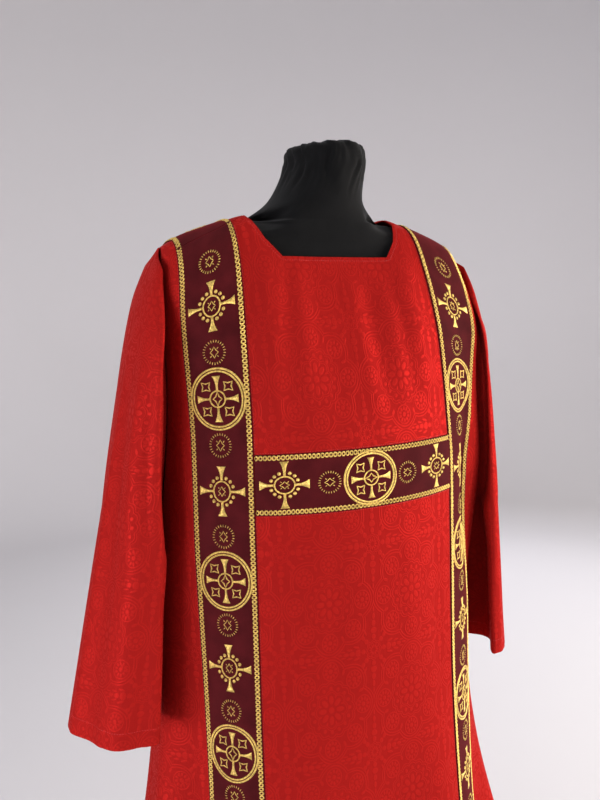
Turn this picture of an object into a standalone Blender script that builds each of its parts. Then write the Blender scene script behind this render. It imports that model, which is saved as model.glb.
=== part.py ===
"""A dalmatic worn by a limbless dress form on a round-footed stand.

Metres, +Z up. The origin is the centre of the stand's underside, the garment's
front faces -Y and +X is the wearer's left.

The cloth is built as a tailor's pieces: front, back, two sleeves, four clavi
(the long vertical bands) and one band across the chest. Each is an open sheet,
bent from a grid by the section tables below, and Solidify gives it its wall.
"""

import math
from collections import namedtuple

import bmesh
import bpy
import numpy as np
from mathutils import Matrix

# ---------------------------------------------------------------- dimensions
SHOULDER_HEIGHT = 1.480  # floor to the neck end of the shoulder seam
CLOTH_WALL = 0.0020  # damask, interlining and lining together
BAND_WALL = 0.0012  # velvet band
SEAM_GAP = 0.0009  # between two pieces sewn edge to edge, at their outer faces
LAY_GAP = 0.0004  # between a band and the panel under it
BAND_WIDTH = 0.080
CHEST_BAND_DROP = 0.335  # shoulder to the middle of the chest band
UNDERARM_DROP = 0.420
ARMHOLE_HALF_OPENING = 0.035
HEM_DROP = 1.240

NECK_END = 0.107  # centre line to where the shoulder starts to slope
NECK_SEAM_ROOM = 0.6
SHOULDER_TIP = 0.215
SHOULDER_SLOPE = 0.33
TIP_ROUNDING = 0.0075
TIP_POWER = 6

FORM_UNDERSIDE = 0.680  # below the shoulder
RIDGE_CLEARANCE = 0.0004  # form to the cloth that hangs on it
POLE_RADIUS = 0.0125
BASE_RADIUS = 0.200
BASE_THICKNESS = 0.012
BOSS_RADIUS = 0.030
BOSS_HEIGHT = 0.045

# ---------------------------------------------------- sections of the garment
# drop: below the shoulder seam; width: half-width at the side; the depths run
# from the side seam's plane to the centre front or back; square: 2 is an
# ellipse, more is boxier; slope: share of the shoulder's slope still in the
# row; front_edge and back_edge: centre to a clavus's inner edge, on the cloth.
Section = namedtuple(
    "Section", "drop width front front_square back back_square slope front_edge back_edge"
)
BODY = [
    Section(0.0000, 0.2150, 0.000, 9.00, 0.000, 9.0, 1.00, 0.130, 0.130),
    Section(0.0006, 0.2153, 0.015, 9.00, 0.016, 9.0, 1.00, 0.130, 0.130),
    Section(0.0050, 0.2165, 0.031, 8.00, 0.038, 8.0, 1.00, 0.131, 0.130),
    Section(0.0160, 0.2185, 0.046, 7.00, 0.066, 7.0, 0.97, 0.132, 0.131),
    Section(0.0350, 0.2210, 0.060, 6.00, 0.084, 5.4, 0.90, 0.133, 0.132),
    Section(0.0550, 0.2230, 0.070, 5.20, 0.094, 4.4, 0.82, 0.134, 0.133),
    Section(0.1000, 0.2250, 0.090, 3.60, 0.109, 3.4, 0.60, 0.137, 0.135),
    Section(0.1500, 0.2260, 0.110, 2.90, 0.117, 2.8, 0.38, 0.140, 0.137),
    Section(0.2000, 0.2270, 0.127, 2.45, 0.121, 2.5, 0.20, 0.142, 0.139),
    Section(0.2700, 0.2290, 0.146, 2.15, 0.124, 2.3, 0.05, 0.145, 0.141),
    Section(0.3320, 0.2320, 0.156, 2.05, 0.122, 2.2, 0.00, 0.148, 0.142),
    Section(0.4200, 0.2350, 0.160, 2.00, 0.119, 2.2, 0.00, 0.149, 0.142),
    Section(0.5200, 0.2390, 0.162, 2.00, 0.121, 2.2, 0.00, 0.149, 0.143),
    Section(0.6400, 0.2460, 0.164, 2.00, 0.130, 2.2, 0.00, 0.149, 0.144),
    Section(0.8000, 0.2640, 0.172, 2.00, 0.146, 2.1, 0.00, 0.149, 0.145),
    Section(1.0000, 0.3060, 0.189, 2.00, 0.168, 2.0, 0.00, 0.149, 0.146),
    Section(1.2400, 0.3720, 0.214, 2.00, 0.2073, 2.0, 0.00, 0.149, 0.147),
]
FRONT_DROPS = [
    0.0, 0.006, 0.016, 0.035, 0.055, 0.078, 0.100, 0.130, 0.165, 0.200, 0.245, 0.2975,
    0.335, 0.3725, 0.420, 0.470, 0.520, 0.580, 0.640, 0.720, 0.800, 0.900, 1.000, 1.120, 1.240,
]
# The back panel's first rows: below the neck's edge, or a share of the way
# from the shoulder line forward to the seam.
BackRow = namedtuple("BackRow", "below_neck forward drop")
BACK_ROWS = [
    BackRow(0.000, 1.00, 0.0), BackRow(0.001, 0.45, 0.0), BackRow(0.002, 0.06, 0.0),
    BackRow(0.004, 0.00, 0.0), BackRow(0.006, 0.00, 0.0008), BackRow(0.010, 0.00, 0.0050),
] + [BackRow(drop, 0.0, drop) for drop in FRONT_DROPS[2:]]

# Top edges of the panels, as the drop of the edge at each distance from the
# centre line. The shoulder seam lies a little forward of the shoulder line, so
# the back panel's edge is at a negative drop there: down the front.
Edge = namedtuple("Edge", "across drop")
FRONT_TOP = [
    Edge(0.000, 0.0575), Edge(0.0745, 0.0575), Edge(0.093, 0.0340), Edge(0.1035, 0.0100),
    Edge(0.107, 0.0004), Edge(0.130, 0.0045), Edge(0.150, 0.0090), Edge(0.240, 0.0180),
]
BACK_TOP = [
    Edge(0.000, 0.0180), Edge(0.060, 0.0175), Edge(0.088, 0.0150), Edge(0.1035, 0.0060),
    Edge(0.107, -0.0004), Edge(0.130, -0.0045), Edge(0.150, -0.0090), Edge(0.240, -0.0180),
]
NECK_BLEND_DROP = 0.200  # where the rows under the neck opening are level again

# Soft folds of the two panels. across: from the centre line on the cloth, + on
# the wearer's left; lean: how far that moves outward for each metre down;
# spread: half of the fold's width; height: + stands out, - sinks in.
Fold = namedtuple("Fold", "across lean spread height start full fade end")
FRONT_FOLDS = [
    Fold(-0.098, 0.10, 0.020, 0.0045, 0.03, 0.08, 0.18, 0.34),
    Fold(-0.062, 0.06, 0.017, 0.0035, 0.04, 0.09, 0.16, 0.28),
    Fold(0.092, 0.05, 0.022, 0.0040, 0.03, 0.09, 0.16, 0.30),
    Fold(0.224, 0.10, 0.028, 0.0260, 0.01, 0.16, 0.34, 0.60),
    Fold(0.215, 0.00, 0.018, -0.0090, 0.27, 0.35, 0.38, 0.56),
    Fold(-0.252, -0.10, 0.026, 0.0050, 0.34, 0.46, 0.62, 0.90),
    Fold(0.020, 0.02, 0.050, -0.0110, 0.50, 1.05, 1.30, 1.40),
    Fold(-0.095, 0.02, 0.042, 0.0160, 0.55, 1.10, 1.30, 1.40),
    Fold(0.112, 0.02, 0.042, 0.0160, 0.55, 1.10, 1.30, 1.40),
    Fold(-0.225, 0.03, 0.042, -0.0170, 0.38, 0.80, 1.30, 1.40),
    Fold(0.230, 0.05, 0.042, -0.0190, 0.55, 1.05, 1.30, 1.40),
    Fold(-0.310, 0.02, 0.036, 0.0200, 0.60, 1.10, 1.30, 1.40),
    Fold(0.316, 0.02, 0.036, 0.0200, 0.60, 1.10, 1.30, 1.40),
    Fold(-0.385, 0.02, 0.030, -0.0140, 0.70, 1.15, 1.30, 1.40),
    Fold(0.388, 0.02, 0.030, -0.0140, 0.70, 1.15, 1.30, 1.40),
]
BACK_FOLDS = [
    Fold(-0.060, 0.02, 0.030, -0.0080, 0.20, 0.60, 1.30, 1.40),
    Fold(0.055, 0.02, 0.032, -0.0080, 0.22, 0.60, 1.30, 1.40),
    Fold(0.000, 0.00, 0.036, 0.0140, 0.30, 0.95, 1.30, 1.40),
    Fold(-0.135, 0.05, 0.038, 0.0160, 0.35, 0.95, 1.30, 1.40),
    Fold(0.140, 0.05, 0.038, 0.0160, 0.35, 0.95, 1.30, 1.40),
    Fold(-0.235, 0.05, 0.038, -0.0180, 0.50, 1.05, 1.30, 1.40),
    Fold(0.230, 0.05, 0.038, -0.0180, 0.50, 1.05, 1.30, 1.40),
    Fold(-0.325, 0.03, 0.036, 0.0180, 0.60, 1.10, 1.30, 1.40),
    Fold(0.320, 0.03, 0.036, 0.0180, 0.60, 1.10, 1.30, 1.40),
]
EDGE_FADE = 0.030  # folds die out this close to a side seam
HEM_EDGE_FADE = 0.050  # and in the skirt this much sooner
HEM_EDGE_DROPS = (0.60, 1.00)
HEM_SEAM_ROOM = 0.0006  # the walls lean together where the skirt curves most

# ---------------------------------------------------- sections of one sleeve
# outer: the sleeve's outermost line; middle: where it is deepest from front to
# back; depth: half of that; wrap: how far its front and back edges curl in
# round the body.
Ring = namedtuple("Ring", "drop outer middle depth wrap")
SLEEVE = [
    Ring(0.044, 0.2200, 0.2180, 0.022, 0.000),
    Ring(0.056, 0.2260, 0.2200, 0.042, 0.000),
    Ring(0.083, 0.2370, 0.2250, 0.062, 0.001),
    Ring(0.108, 0.2455, 0.2290, 0.075, 0.003),
    Ring(0.160, 0.2550, 0.2350, 0.087, 0.005),
    Ring(0.235, 0.2650, 0.2410, 0.093, 0.007),
    Ring(0.350, 0.2800, 0.2490, 0.095, 0.009),
    Ring(0.440, 0.2920, 0.2560, 0.094, 0.012),
    Ring(0.655, 0.3200, 0.2690, 0.092, 0.018),
]
# One row of the sleeve's grid: its drop at the outer line and at the seam.
SleeveRow = namedtuple("SleeveRow", "outer seam")
SLEEVE_ROWS = [
    SleeveRow(0.060, 0.078), SleeveRow(0.082, 0.100), SleeveRow(0.112, 0.130), SleeveRow(0.152, 0.165),
    SleeveRow(0.194, 0.200), SleeveRow(0.243, 0.245), SleeveRow(0.2975, 0.2975), SleeveRow(0.335, 0.335),
    SleeveRow(0.3725, 0.3725), SleeveRow(0.420, 0.420), SleeveRow(0.470, 0.470), SleeveRow(0.520, 0.520),
    SleeveRow(0.585, 0.585), SleeveRow(0.655, 0.655),
]
SLEEVE_TOP_SEAM = [0.0, 0.0006, 0.005, 0.018, 0.035, 0.055]  # drops along the sleeve's head
SLEEVE_SWING = {"left": 0.010, "right": 0.072}  # how far a sleeve swings out, for each metre down
SLEEVE_SWING_START = 0.060
SLEEVE_HALF_COLUMNS = 14
HEAD_ROOM = 0.0016
HEAD_ROOM_DROPS = (0.05, 0.14)
SLEEVE_CLEARANCE = 0.012  # sleeve's inner line to the side seam, well below the armhole
SLEEVE_CLEARANCE_DROP = 0.080
UNDERARM_ROOM = 0.0010  # more gap towards the foot of the armhole
UNDERARM_ROOM_DROPS = (0.20, 0.37)

# Folds of a sleeve. around: share of the way from the outer line (0) to the
# seam (1), - at the front.
SleeveFold = namedtuple("SleeveFold", "around spread height start full")
RIGHT_SLEEVE_FOLDS = [
    SleeveFold(-0.20, 0.085, -0.0060, 0.14, 0.36),
    SleeveFold(-0.40, 0.075, 0.0060, 0.12, 0.30),
    SleeveFold(0.18, 0.100, -0.0070, 0.18, 0.40),
    SleeveFold(0.44, 0.090, 0.0060, 0.20, 0.40),
    SleeveFold(0.66, 0.080, -0.0050, 0.25, 0.50),
]
LEFT_SLEEVE_FOLDS = [
    SleeveFold(-0.80, 0.130, -0.0220, 0.03, 0.14),
    SleeveFold(-0.26, 0.090, -0.0050, 0.18, 0.40),
    SleeveFold(0.20, 0.100, -0.0070, 0.16, 0.40),
    SleeveFold(0.46, 0.090, 0.0060, 0.20, 0.42),
    SleeveFold(0.68, 0.080, -0.0050, 0.25, 0.50),
]
SLEEVE_EDGE_FADE = 0.14

# ------------------------------------------------- sections of the dress form
# height: above the shoulder; width: half-width; front and back: depths from
# the pole's plane. Between the two shoulder rows the width follows the ridge.
FormSection = namedtuple("FormSection", "height width front back square")
FORM_BELOW = [
    FormSection(-0.680, 0.168, 0.118, 0.112, 2.2),
    FormSection(-0.600, 0.178, 0.124, 0.114, 2.2),
    FormSection(-0.500, 0.166, 0.128, 0.100, 2.2),
    FormSection(-0.420, 0.166, 0.142, 0.102, 2.2),
    FormSection(-0.330, 0.178, 0.146, 0.110, 2.2),
    FormSection(-0.270, 0.184, 0.137, 0.114, 2.2),
    FormSection(-0.200, 0.190, 0.119, 0.112, 2.2),
    FormSection(-0.150, 0.197, 0.103, 0.108, 2.2),
    FormSection(-0.100, 0.204, 0.084, 0.100, 2.3),
    FormSection(-0.070, 0.2060, 0.0720, 0.094, 2.5),
    FormSection(-0.052, 0.2060, 0.0640, 0.088, 2.5),
]
FORM_RIDGE_WIDTHS = [0.205, 0.200, 0.191, 0.177, 0.160, 0.142, 0.125, 0.112, 0.104]
FORM_RIDGE_FRONT = 0.061
FORM_RIDGE_BACK = 0.080
FORM_SHOULDER_EASE = 0.0008  # the form's shoulder falls away from the cloth by this much at its tip
FORM_RIDGE_SQUARE = 2.3
FORM_NECK = [
    FormSection(0.004, 0.084, 0.0630, 0.0640, 2.2),
    FormSection(0.014, 0.068, 0.0650, 0.0600, 2.1),
    FormSection(0.030, 0.0610, 0.0690, 0.0530, 2.0),
    FormSection(0.055, 0.0585, 0.0745, 0.0440, 2.0),
    FormSection(0.072, 0.0560, 0.0760, 0.0370, 2.0),
    FormSection(0.078, 0.0510, 0.0720, 0.0320, 2.0),
]
NECK_TOP_DOME = 0.081
FORM_CLEARANCE = 0.0025  # form to the cloth's inner face, off the shoulder line
FORM_SEGMENTS = 44
FORM_LEAST_DEPTH = 0.003
NECK_EDGE_ROOM = 0.0050  # more gap beside the neck opening
NECK_EDGE_HALVES = (0.112, 0.140)
NECK_SLACK = 0.080  # inside the neck opening the form has no cloth over it
NECK_SLACK_HALVES = (0.045, 0.083)
NECK_SLACK_DROPS = {"front": (0.020, 0.046), "back": (0.004, 0.014)}
FORM_LEANS = (0.0, 0.5, 1.0, math.pi / 2)  # directions in which the clearance is kept, from straight up

MATERIALS = {  # name: (linear colour, roughness, metallic)
    "red_damask": ((0.52, 0.012, 0.012), 0.55, 0.0),
    "burgundy_velvet": ((0.075, 0.004, 0.012), 0.85, 0.0),
    "black_jersey": ((0.008, 0.008, 0.008), 0.90, 0.0),
    "black_steel": ((0.015, 0.015, 0.016), 0.40, 0.6),
}
CURVE_SAMPLES = 96


# -------------------------------------------------------------- interpolation
def smooth(table, column, at):
    """A table's column at a given first-column value, on a curve with no overshoot."""
    xs = np.array([row[0] for row in table])
    ys = np.array([getattr(row, column) for row in table])
    steps = np.diff(ys) / np.diff(xs)
    slopes = np.zeros(len(xs))
    slopes[0], slopes[-1] = steps[0], steps[-1]
    same_way = steps[:-1] * steps[1:] > 0
    slopes[1:-1][same_way] = 2 / (1 / steps[:-1][same_way] + 1 / steps[1:][same_way])
    at = min(max(at, xs[0]), xs[-1])
    i = min(int(np.searchsorted(xs, at, side="right")) - 1, len(xs) - 2)
    span = xs[i + 1] - xs[i]
    t = (at - xs[i]) / span
    return float(
        (1 + 2 * t) * (1 - t) ** 2 * ys[i]
        + t * (1 - t) ** 2 * span * slopes[i]
        + t * t * (3 - 2 * t) * ys[i + 1]
        + t * t * (t - 1) * span * slopes[i + 1]
    )


def ease(low, high, value):
    """0 below low, 1 above high, and a smooth step between."""
    t = min(max((value - low) / (high - low), 0.0), 1.0)
    return t * t * (3 - 2 * t)


def ridge(across):
    """Height of the shoulder line against its neck end."""
    run = np.clip(np.abs(across) - NECK_END, 0, None)
    return -(SHOULDER_SLOPE * run + TIP_ROUNDING * (run / (SHOULDER_TIP - NECK_END)) ** TIP_POWER)


# ------------------------------------------------------------- body sections
def body_row(drop, face):
    """The garment's outline at one drop, from the centre to the side, and its length along the cloth."""
    width = smooth(BODY, "width", drop)
    depth = smooth(BODY, face, drop)
    square = smooth(BODY, face + "_square", drop)
    turn = np.linspace(0, math.pi / 2, CURVE_SAMPLES)
    across = width * np.sin(turn) ** (2 / square)
    away = depth * np.cos(turn) ** (2 / square)
    height = -drop + smooth(BODY, "slope", drop) * ridge(across)
    points = np.stack([across, away, height], axis=1)
    run = np.concatenate([[0], np.cumsum(np.linalg.norm(np.diff(points, axis=0), axis=1))])
    return points, run


def along(points, run, distance):
    """The point at a distance along a row."""
    return np.array([np.interp(distance, run, points[:, axis]) for axis in range(3)])


def armhole_half_opening(drop):
    """How far the panel's edge stands off the side plane: the armhole, then the side seam."""
    share = min(drop / UNDERARM_DROP, 1.0)
    gap = SEAM_GAP / 2 + HEM_SEAM_ROOM * ease(*HEM_EDGE_DROPS, drop)
    return gap + ARMHOLE_HALF_OPENING * math.sqrt(max(math.sin(math.pi * share), 0.0))


def row_end(drop, face):
    """Distance along a row to the panel's edge."""
    points, run = body_row(drop, face)
    off_plane = armhole_half_opening(drop)
    if points[0, 1] <= off_plane:
        return float(run[-1])
    return float(np.interp(-off_plane, -points[:, 1], run))


def column_across(drop, face, column):
    """A column's distance from the centre: 1 and 2 are the clavus's edges, 3 the panel's edge."""
    inner = smooth(BODY, face + "_edge", drop)
    end = row_end(drop, face)
    return float(np.interp(column, [0, 1, 2, 3], [0, inner, min(inner + BAND_WIDTH, end - 0.004), end]))


def body_point(drop, face, column):
    """A point of the half of a panel on the wearer's left, given in column_across's units."""
    points, run = body_row(drop, face)
    return along(points, run, column_across(drop, face, column))


def panel_rows(face, across_top):
    """Drops of a column's points. Below nought they lie forward of the shoulder line."""
    table = FRONT_TOP if face == "front" else BACK_TOP
    top = float(np.interp(across_top, [e.across for e in table], [e.drop for e in table]))
    if face == "front":
        rows = FRONT_DROPS
    elif top < 0:
        return [row.forward * top if row.forward else row.drop for row in BACK_ROWS]
    else:
        rows = [row.below_neck for row in BACK_ROWS]
    return [row if row >= NECK_BLEND_DROP else top + row * (1 - top / NECK_BLEND_DROP) for row in rows]


# Columns of half a panel, in body_point's units.
TOP_INNER = BODY[0].front_edge
CENTRE_COLUMNS = [x / TOP_INNER for x in (0.0, 0.026, 0.052, 0.0745, 0.093, 0.1035, 0.107)]
BAND_COLUMNS = [1.0, 1.25, 1.5, 1.75, 2.0]
SIDE_COLUMNS = [2.2, 2.4, 2.6, 2.8, 3.0]
HALF_COLUMNS = CENTRE_COLUMNS + BAND_COLUMNS + SIDE_COLUMNS
CENTRE_INDEX = len(HALF_COLUMNS) - 1
BAND_FIRST = len(CENTRE_COLUMNS)
BAND_LAST = BAND_FIRST + len(BAND_COLUMNS) - 1


def normals_of(grid):
    """Outward unit normals of a grid of points, rows running down and columns to the wearer's left."""
    down = np.gradient(grid, axis=0)
    left = np.gradient(grid, axis=1)
    normal = np.cross(down, left)
    return normal / np.linalg.norm(normal, axis=2, keepdims=True)


def fold_height(folds, across, drop, to_edge):
    """How far the folds push the cloth out at one place."""
    total = 0.0
    for fold in folds:
        middle = fold.across + math.copysign(fold.lean, fold.across) * (drop - fold.start)
        share = ease(fold.start, fold.full, drop) * (1 - ease(fold.fade, fold.end, drop))
        total += fold.height * share * math.exp(-(((across - middle) / fold.spread) ** 2))
    return total * ease(0, EDGE_FADE + HEM_EDGE_FADE * ease(*HEM_EDGE_DROPS, drop), to_edge)


def panel_grid(face):
    """Grid of points of the front or back panel's outer face, from the wearer's right to left."""
    folds = FRONT_FOLDS if face == "front" else BACK_FOLDS
    columns = [-c for c in reversed(HALF_COLUMNS[1:])] + HALF_COLUMNS
    points, heights = [], []
    for column in columns:
        side = math.copysign(1, column)
        column = abs(column)
        line, height = [], []
        for drop in panel_rows(face, column_across(0.0, face, column)):
            on_front = face == "front" or drop < 0
            drop = abs(drop)
            own = "front" if on_front else "back"
            line.append(body_point(drop, own, column) * (side, -1 if on_front else 1, 1))
            across = column_across(drop, own, column)
            height.append(fold_height(folds, side * across, drop, row_end(drop, own) - across))
        points.append(line)
        heights.append(height)
    grid = np.array(points).transpose(1, 0, 2)
    if face == "front":
        pull_back(grid, SEAM_GAP)
    out = normals_of(grid) * (1 if face == "front" else -1)
    return grid + out * np.array(heights).T[:, :, None]


def pull_back(grid, gap):
    """Shortens a grid's first row by a seam's gap, a little more beside the neck."""
    step = grid[1] - grid[0]
    more = 1 + NECK_SEAM_ROOM * (np.abs(grid[0, :, 0]) < 0.12)
    grid[0] += step * (gap * more / np.linalg.norm(step, axis=1))[:, None]


# ----------------------------------------------------------- sleeve sections
def seam_point(drop, face):
    """A point of the panel's edge on the wearer's left, moved out by the seam's gap.

    Over the shoulder the sleeve turns down from the panel, so its wall needs room there too.
    """
    point = body_point(drop, face, 3)
    point[0] += SEAM_GAP + HEAD_ROOM * (1 - ease(*HEAD_ROOM_DROPS, drop))
    point[0] += UNDERARM_ROOM * ease(*UNDERARM_ROOM_DROPS, drop)
    if face == "front":
        point[1] = -point[1]
    return point


def sleeve_ring_half(outer_drop, seam_drop, face, swing):
    """Half a ring of the left sleeve, from the outer line round the front or back to the seam."""
    seam = seam_point(seam_drop, face)
    below = ease(UNDERARM_DROP, UNDERARM_DROP + SLEEVE_CLEARANCE_DROP, seam_drop)
    seam[0] += SLEEVE_CLEARANCE * below
    samples = []
    for share in np.linspace(0, 1, CURVE_SAMPLES):
        drop = outer_drop - share**2 * (seam[2] + outer_drop)
        outer, middle, depth, wrap = (
            smooth(SLEEVE, name, drop) for name in ("outer", "middle", "depth", "wrap")
        )
        swung = swing * max(drop - SLEEVE_SWING_START, 0)
        outer, middle = outer + swung, middle + swung / 2
        reach = min(abs(seam[1]) / depth, 1.0) if seam_drop < UNDERARM_DROP else 0.0
        last = math.pi - math.asin(reach)
        turn = share * last
        inward = (middle - wrap * reach**2 - seam[0]) / math.cos(math.pi - last)
        span = outer - middle if turn < math.pi / 2 else inward
        samples.append(
            (
                middle + span * math.cos(turn) - wrap * math.sin(turn) ** 2,
                math.copysign(depth * math.sin(turn), seam[1]),
                -drop,
            )
        )
    samples[-1] = tuple(seam)
    return np.array(samples)


def spaced(points, count):
    """Points at even distances along a line of samples."""
    run = np.concatenate([[0], np.cumsum(np.linalg.norm(np.diff(points, axis=0), axis=1))])
    return np.array([along(points, run, d) for d in np.linspace(0, run[-1], count + 1)])


def sleeve_head():
    """The seam line over the shoulder's tip, front to back, where the sleeve's grid starts."""
    front = [seam_point(drop, "front") for drop in SLEEVE_TOP_SEAM]
    back = [seam_point(drop, "back") for drop in SLEEVE_TOP_SEAM]
    tip = (front[0] + back[0]) / 2
    halves = [spaced(np.array([tip] + side[1:]), SLEEVE_HALF_COLUMNS) for side in (front, back)]
    return np.concatenate([halves[0][::-1], halves[1][1:]])


def sleeve_grid(folds, swing):
    """Grid of points of the left sleeve's outer face: rows run down, columns from front seam to back."""
    rows = [sleeve_head()]
    for row in SLEEVE_ROWS:
        front, back = (
            spaced(sleeve_ring_half(row.outer, row.seam, face, swing), SLEEVE_HALF_COLUMNS)
            for face in ("front", "back")
        )
        rows.append(np.concatenate([front[::-1], back[1:]]))
    grid = np.array(rows)
    out = normals_of(grid)
    shares = np.linspace(-1, 1, 2 * SLEEVE_HALF_COLUMNS + 1)
    drops = [0.05] + [row.outer for row in SLEEVE_ROWS]
    heights = np.zeros(grid.shape[:2])
    for i, drop in enumerate(drops):
        for j, share in enumerate(shares):
            for fold in folds:
                shape = math.exp(-(((share - fold.around) / fold.spread) ** 2))
                heights[i, j] += fold.height * ease(fold.start, fold.full, drop) * shape
            heights[i, j] *= ease(0, SLEEVE_EDGE_FADE, 1 - abs(share))
    return grid + out * heights[:, :, None]


# ------------------------------------------------------------ Blender objects
def clear_scene():
    """Empties the scene."""
    for obj in list(bpy.data.objects):
        bpy.data.objects.remove(obj)


def make_material(name):
    """A plain Principled material."""
    colour, roughness, metallic = MATERIALS[name]
    material = bpy.data.materials.new(name)
    material.use_nodes = True
    shader = material.node_tree.nodes["Principled BSDF"]
    shader.inputs["Base Color"].default_value = (*colour, 1)
    shader.inputs["Roughness"].default_value = roughness
    shader.inputs["Metallic"].default_value = metallic
    material.diffuse_color = (*colour, 1)
    return material


def add_object(name, mesh, material, collection):
    """Links a mesh as one named sub-part with one material."""
    obj = bpy.data.objects.new(name, mesh)
    mesh.materials.append(bpy.data.materials[material])
    mesh.shade_smooth()
    collection.objects.link(obj)
    return obj


def sheet_mesh(name, grid, flip=False, close_below=None):
    """An open sheet: a grid primitive with its points moved to a table of places, raised to the shoulder.

    close_below is the first row whose two end columns are one line, as in a tube.
    """
    rows, columns = grid.shape[:2]
    bm = bmesh.new()
    bmesh.ops.create_grid(bm, x_segments=columns - 1, y_segments=rows - 1, size=1)
    placed = sorted(bm.verts, key=lambda v: (-round(v.co.y, 5), round(v.co.x, 5)))
    for vert, place in zip(placed, grid.reshape(-1, 3)):
        vert.co = (place[0], place[1], place[2] + SHOULDER_HEIGHT)
    if close_below is not None:
        ends = [placed[i * columns + j] for i in range(close_below, rows) for j in (0, columns - 1)]
        for first, last in zip(ends[::2], ends[1::2]):
            last.co = first.co
        bmesh.ops.remove_doubles(bm, verts=ends, dist=1e-6)
    if flip:
        bmesh.ops.reverse_faces(bm, faces=bm.faces)
    mesh = bpy.data.meshes.new(name)
    bm.to_mesh(mesh)
    bm.free()
    return mesh


def add_wall(obj, thickness, offset):
    """Gives a sheet its wall, inward (-1) or outward (+1) of its face."""
    wall = obj.modifiers.new("wall", "SOLIDIFY")
    wall.thickness = thickness
    wall.offset = offset
    wall.use_quality_normals = True


def add_sheet(name, grid, material, collection, flip=False, band=False, close_below=None):
    """One cloth piece: a panel or sleeve with its wall inside, or a band with its wall outside."""
    obj = add_object(name, sheet_mesh(name, grid, flip, close_below), material, collection)
    add_wall(obj, BAND_WALL if band else CLOTH_WALL, 1 if band else -1)
    return obj


def add_bands(face, grid, collection):
    """The two clavi of a panel, and on the front the band across the chest."""
    out = normals_of(grid) * (1 if face == "front" else -1)
    lifted = grid + out * LAY_GAP
    flip = face == "back"
    spans = {
        "left": (CENTRE_INDEX + BAND_FIRST, CENTRE_INDEX + BAND_LAST),
        "right": (CENTRE_INDEX - BAND_LAST, CENTRE_INDEX - BAND_FIRST),
    }
    for side, (first, last) in spans.items():
        piece = lifted[:, first : last + 1]
        add_sheet(f"clavus_{face}_{side}", piece, "burgundy_velvet", collection, flip, band=True)
    if face == "back":
        return
    top = FRONT_DROPS.index(CHEST_BAND_DROP) - 1
    piece = lifted[top : top + 3, CENTRE_INDEX - BAND_FIRST : CENTRE_INDEX + BAND_FIRST + 1].copy()
    for column, neighbour in ((0, 1), (-1, -2)):
        step = piece[:, neighbour] - piece[:, column]
        piece[:, column] += step / np.linalg.norm(step, axis=1, keepdims=True) * SEAM_GAP
    add_sheet("chest_band", piece, "burgundy_velvet", collection, band=True)


def form_sections():
    """The dress form's sections from its underside to the top of its neck."""
    rows = list(FORM_BELOW)
    for width in FORM_RIDGE_WIDTHS:
        height = float(ridge(width)) - CLOTH_WALL - ridge_clearance(width)
        rows.append(FormSection(height, width, FORM_RIDGE_FRONT, FORM_RIDGE_BACK, FORM_RIDGE_SQUARE))
    return rows + FORM_NECK


def ridge_clearance(across):
    """Gap under the shoulder line: closest half way along the shoulder."""
    out = max(across - NECK_END, 0) / (SHOULDER_TIP - NECK_END)
    beside_neck = 1 - ease(*NECK_EDGE_HALVES, across)
    return RIDGE_CLEARANCE + FORM_SHOULDER_EASE * out**2 + NECK_EDGE_ROOM * beside_neck


def cloth_depth(across, height, face):
    """Distance from the side plane to the garment's outer face, for the form to keep inside."""
    drop = -height
    for _ in range(6):
        drop = -height + smooth(BODY, "slope", max(drop, 0)) * float(ridge(across))
    if drop <= 0 or across >= smooth(BODY, "width", drop):
        return 0.0
    points, _ = body_row(drop, face)
    return float(np.interp(across, points[:, 0], points[:, 1]))


def form_point(section, turn):
    """A point of the form at an angle round one section, kept inside the cloth."""
    face = "front" if math.sin(turn) < 0 else "back"
    reach = (abs(math.cos(turn)) ** section.square + abs(math.sin(turn)) ** section.square) ** (
        -1 / section.square
    )
    across = section.width * reach * math.cos(turn)
    depth = abs(getattr(section, face) * reach * math.sin(turn))
    if section.height < 0:
        slack = NECK_SLACK * (1 - ease(*NECK_SLACK_HALVES, abs(across)))
        slack *= 1 - ease(*NECK_SLACK_DROPS[face], -section.height)
        for lean in FORM_LEANS:
            near = ridge_clearance(abs(across))
            up = (CLOTH_WALL + near + (FORM_CLEARANCE - near) * math.sin(lean)) * math.cos(lean)
            side = (CLOTH_WALL + FORM_CLEARANCE) * math.sin(lean)
            room = cloth_depth(abs(across), section.height + up, face) - side
            depth = min(depth, max(room, FORM_LEAST_DEPTH * abs(math.sin(turn))) + slack)
    return across, math.copysign(depth, math.sin(turn)), SHOULDER_HEIGHT + section.height


def add_form(collection):
    """The limbless torso and neck, lofted through its sections and closed at both ends."""
    bm = bmesh.new()
    turns = [2 * math.pi * k / FORM_SEGMENTS for k in range(FORM_SEGMENTS)]
    rings = [[bm.verts.new(form_point(section, turn)) for turn in turns] for section in form_sections()]
    for lower, upper in zip(rings, rings[1:]):
        for k in range(FORM_SEGMENTS):
            after = (k + 1) % FORM_SEGMENTS
            bm.faces.new((lower[k], lower[after], upper[after], upper[k]))
    bm.faces.new(list(reversed(rings[0])))
    neck = FORM_NECK[-1]
    apex = bm.verts.new((0, (neck.back - neck.front) / 2, SHOULDER_HEIGHT + NECK_TOP_DOME))
    for k in range(FORM_SEGMENTS):
        bm.faces.new((rings[-1][k], rings[-1][(k + 1) % FORM_SEGMENTS], apex))
    mesh = bpy.data.meshes.new("dress_form")
    bm.to_mesh(mesh)
    bm.free()
    return add_object("dress_form", mesh, "black_jersey", collection)


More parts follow.
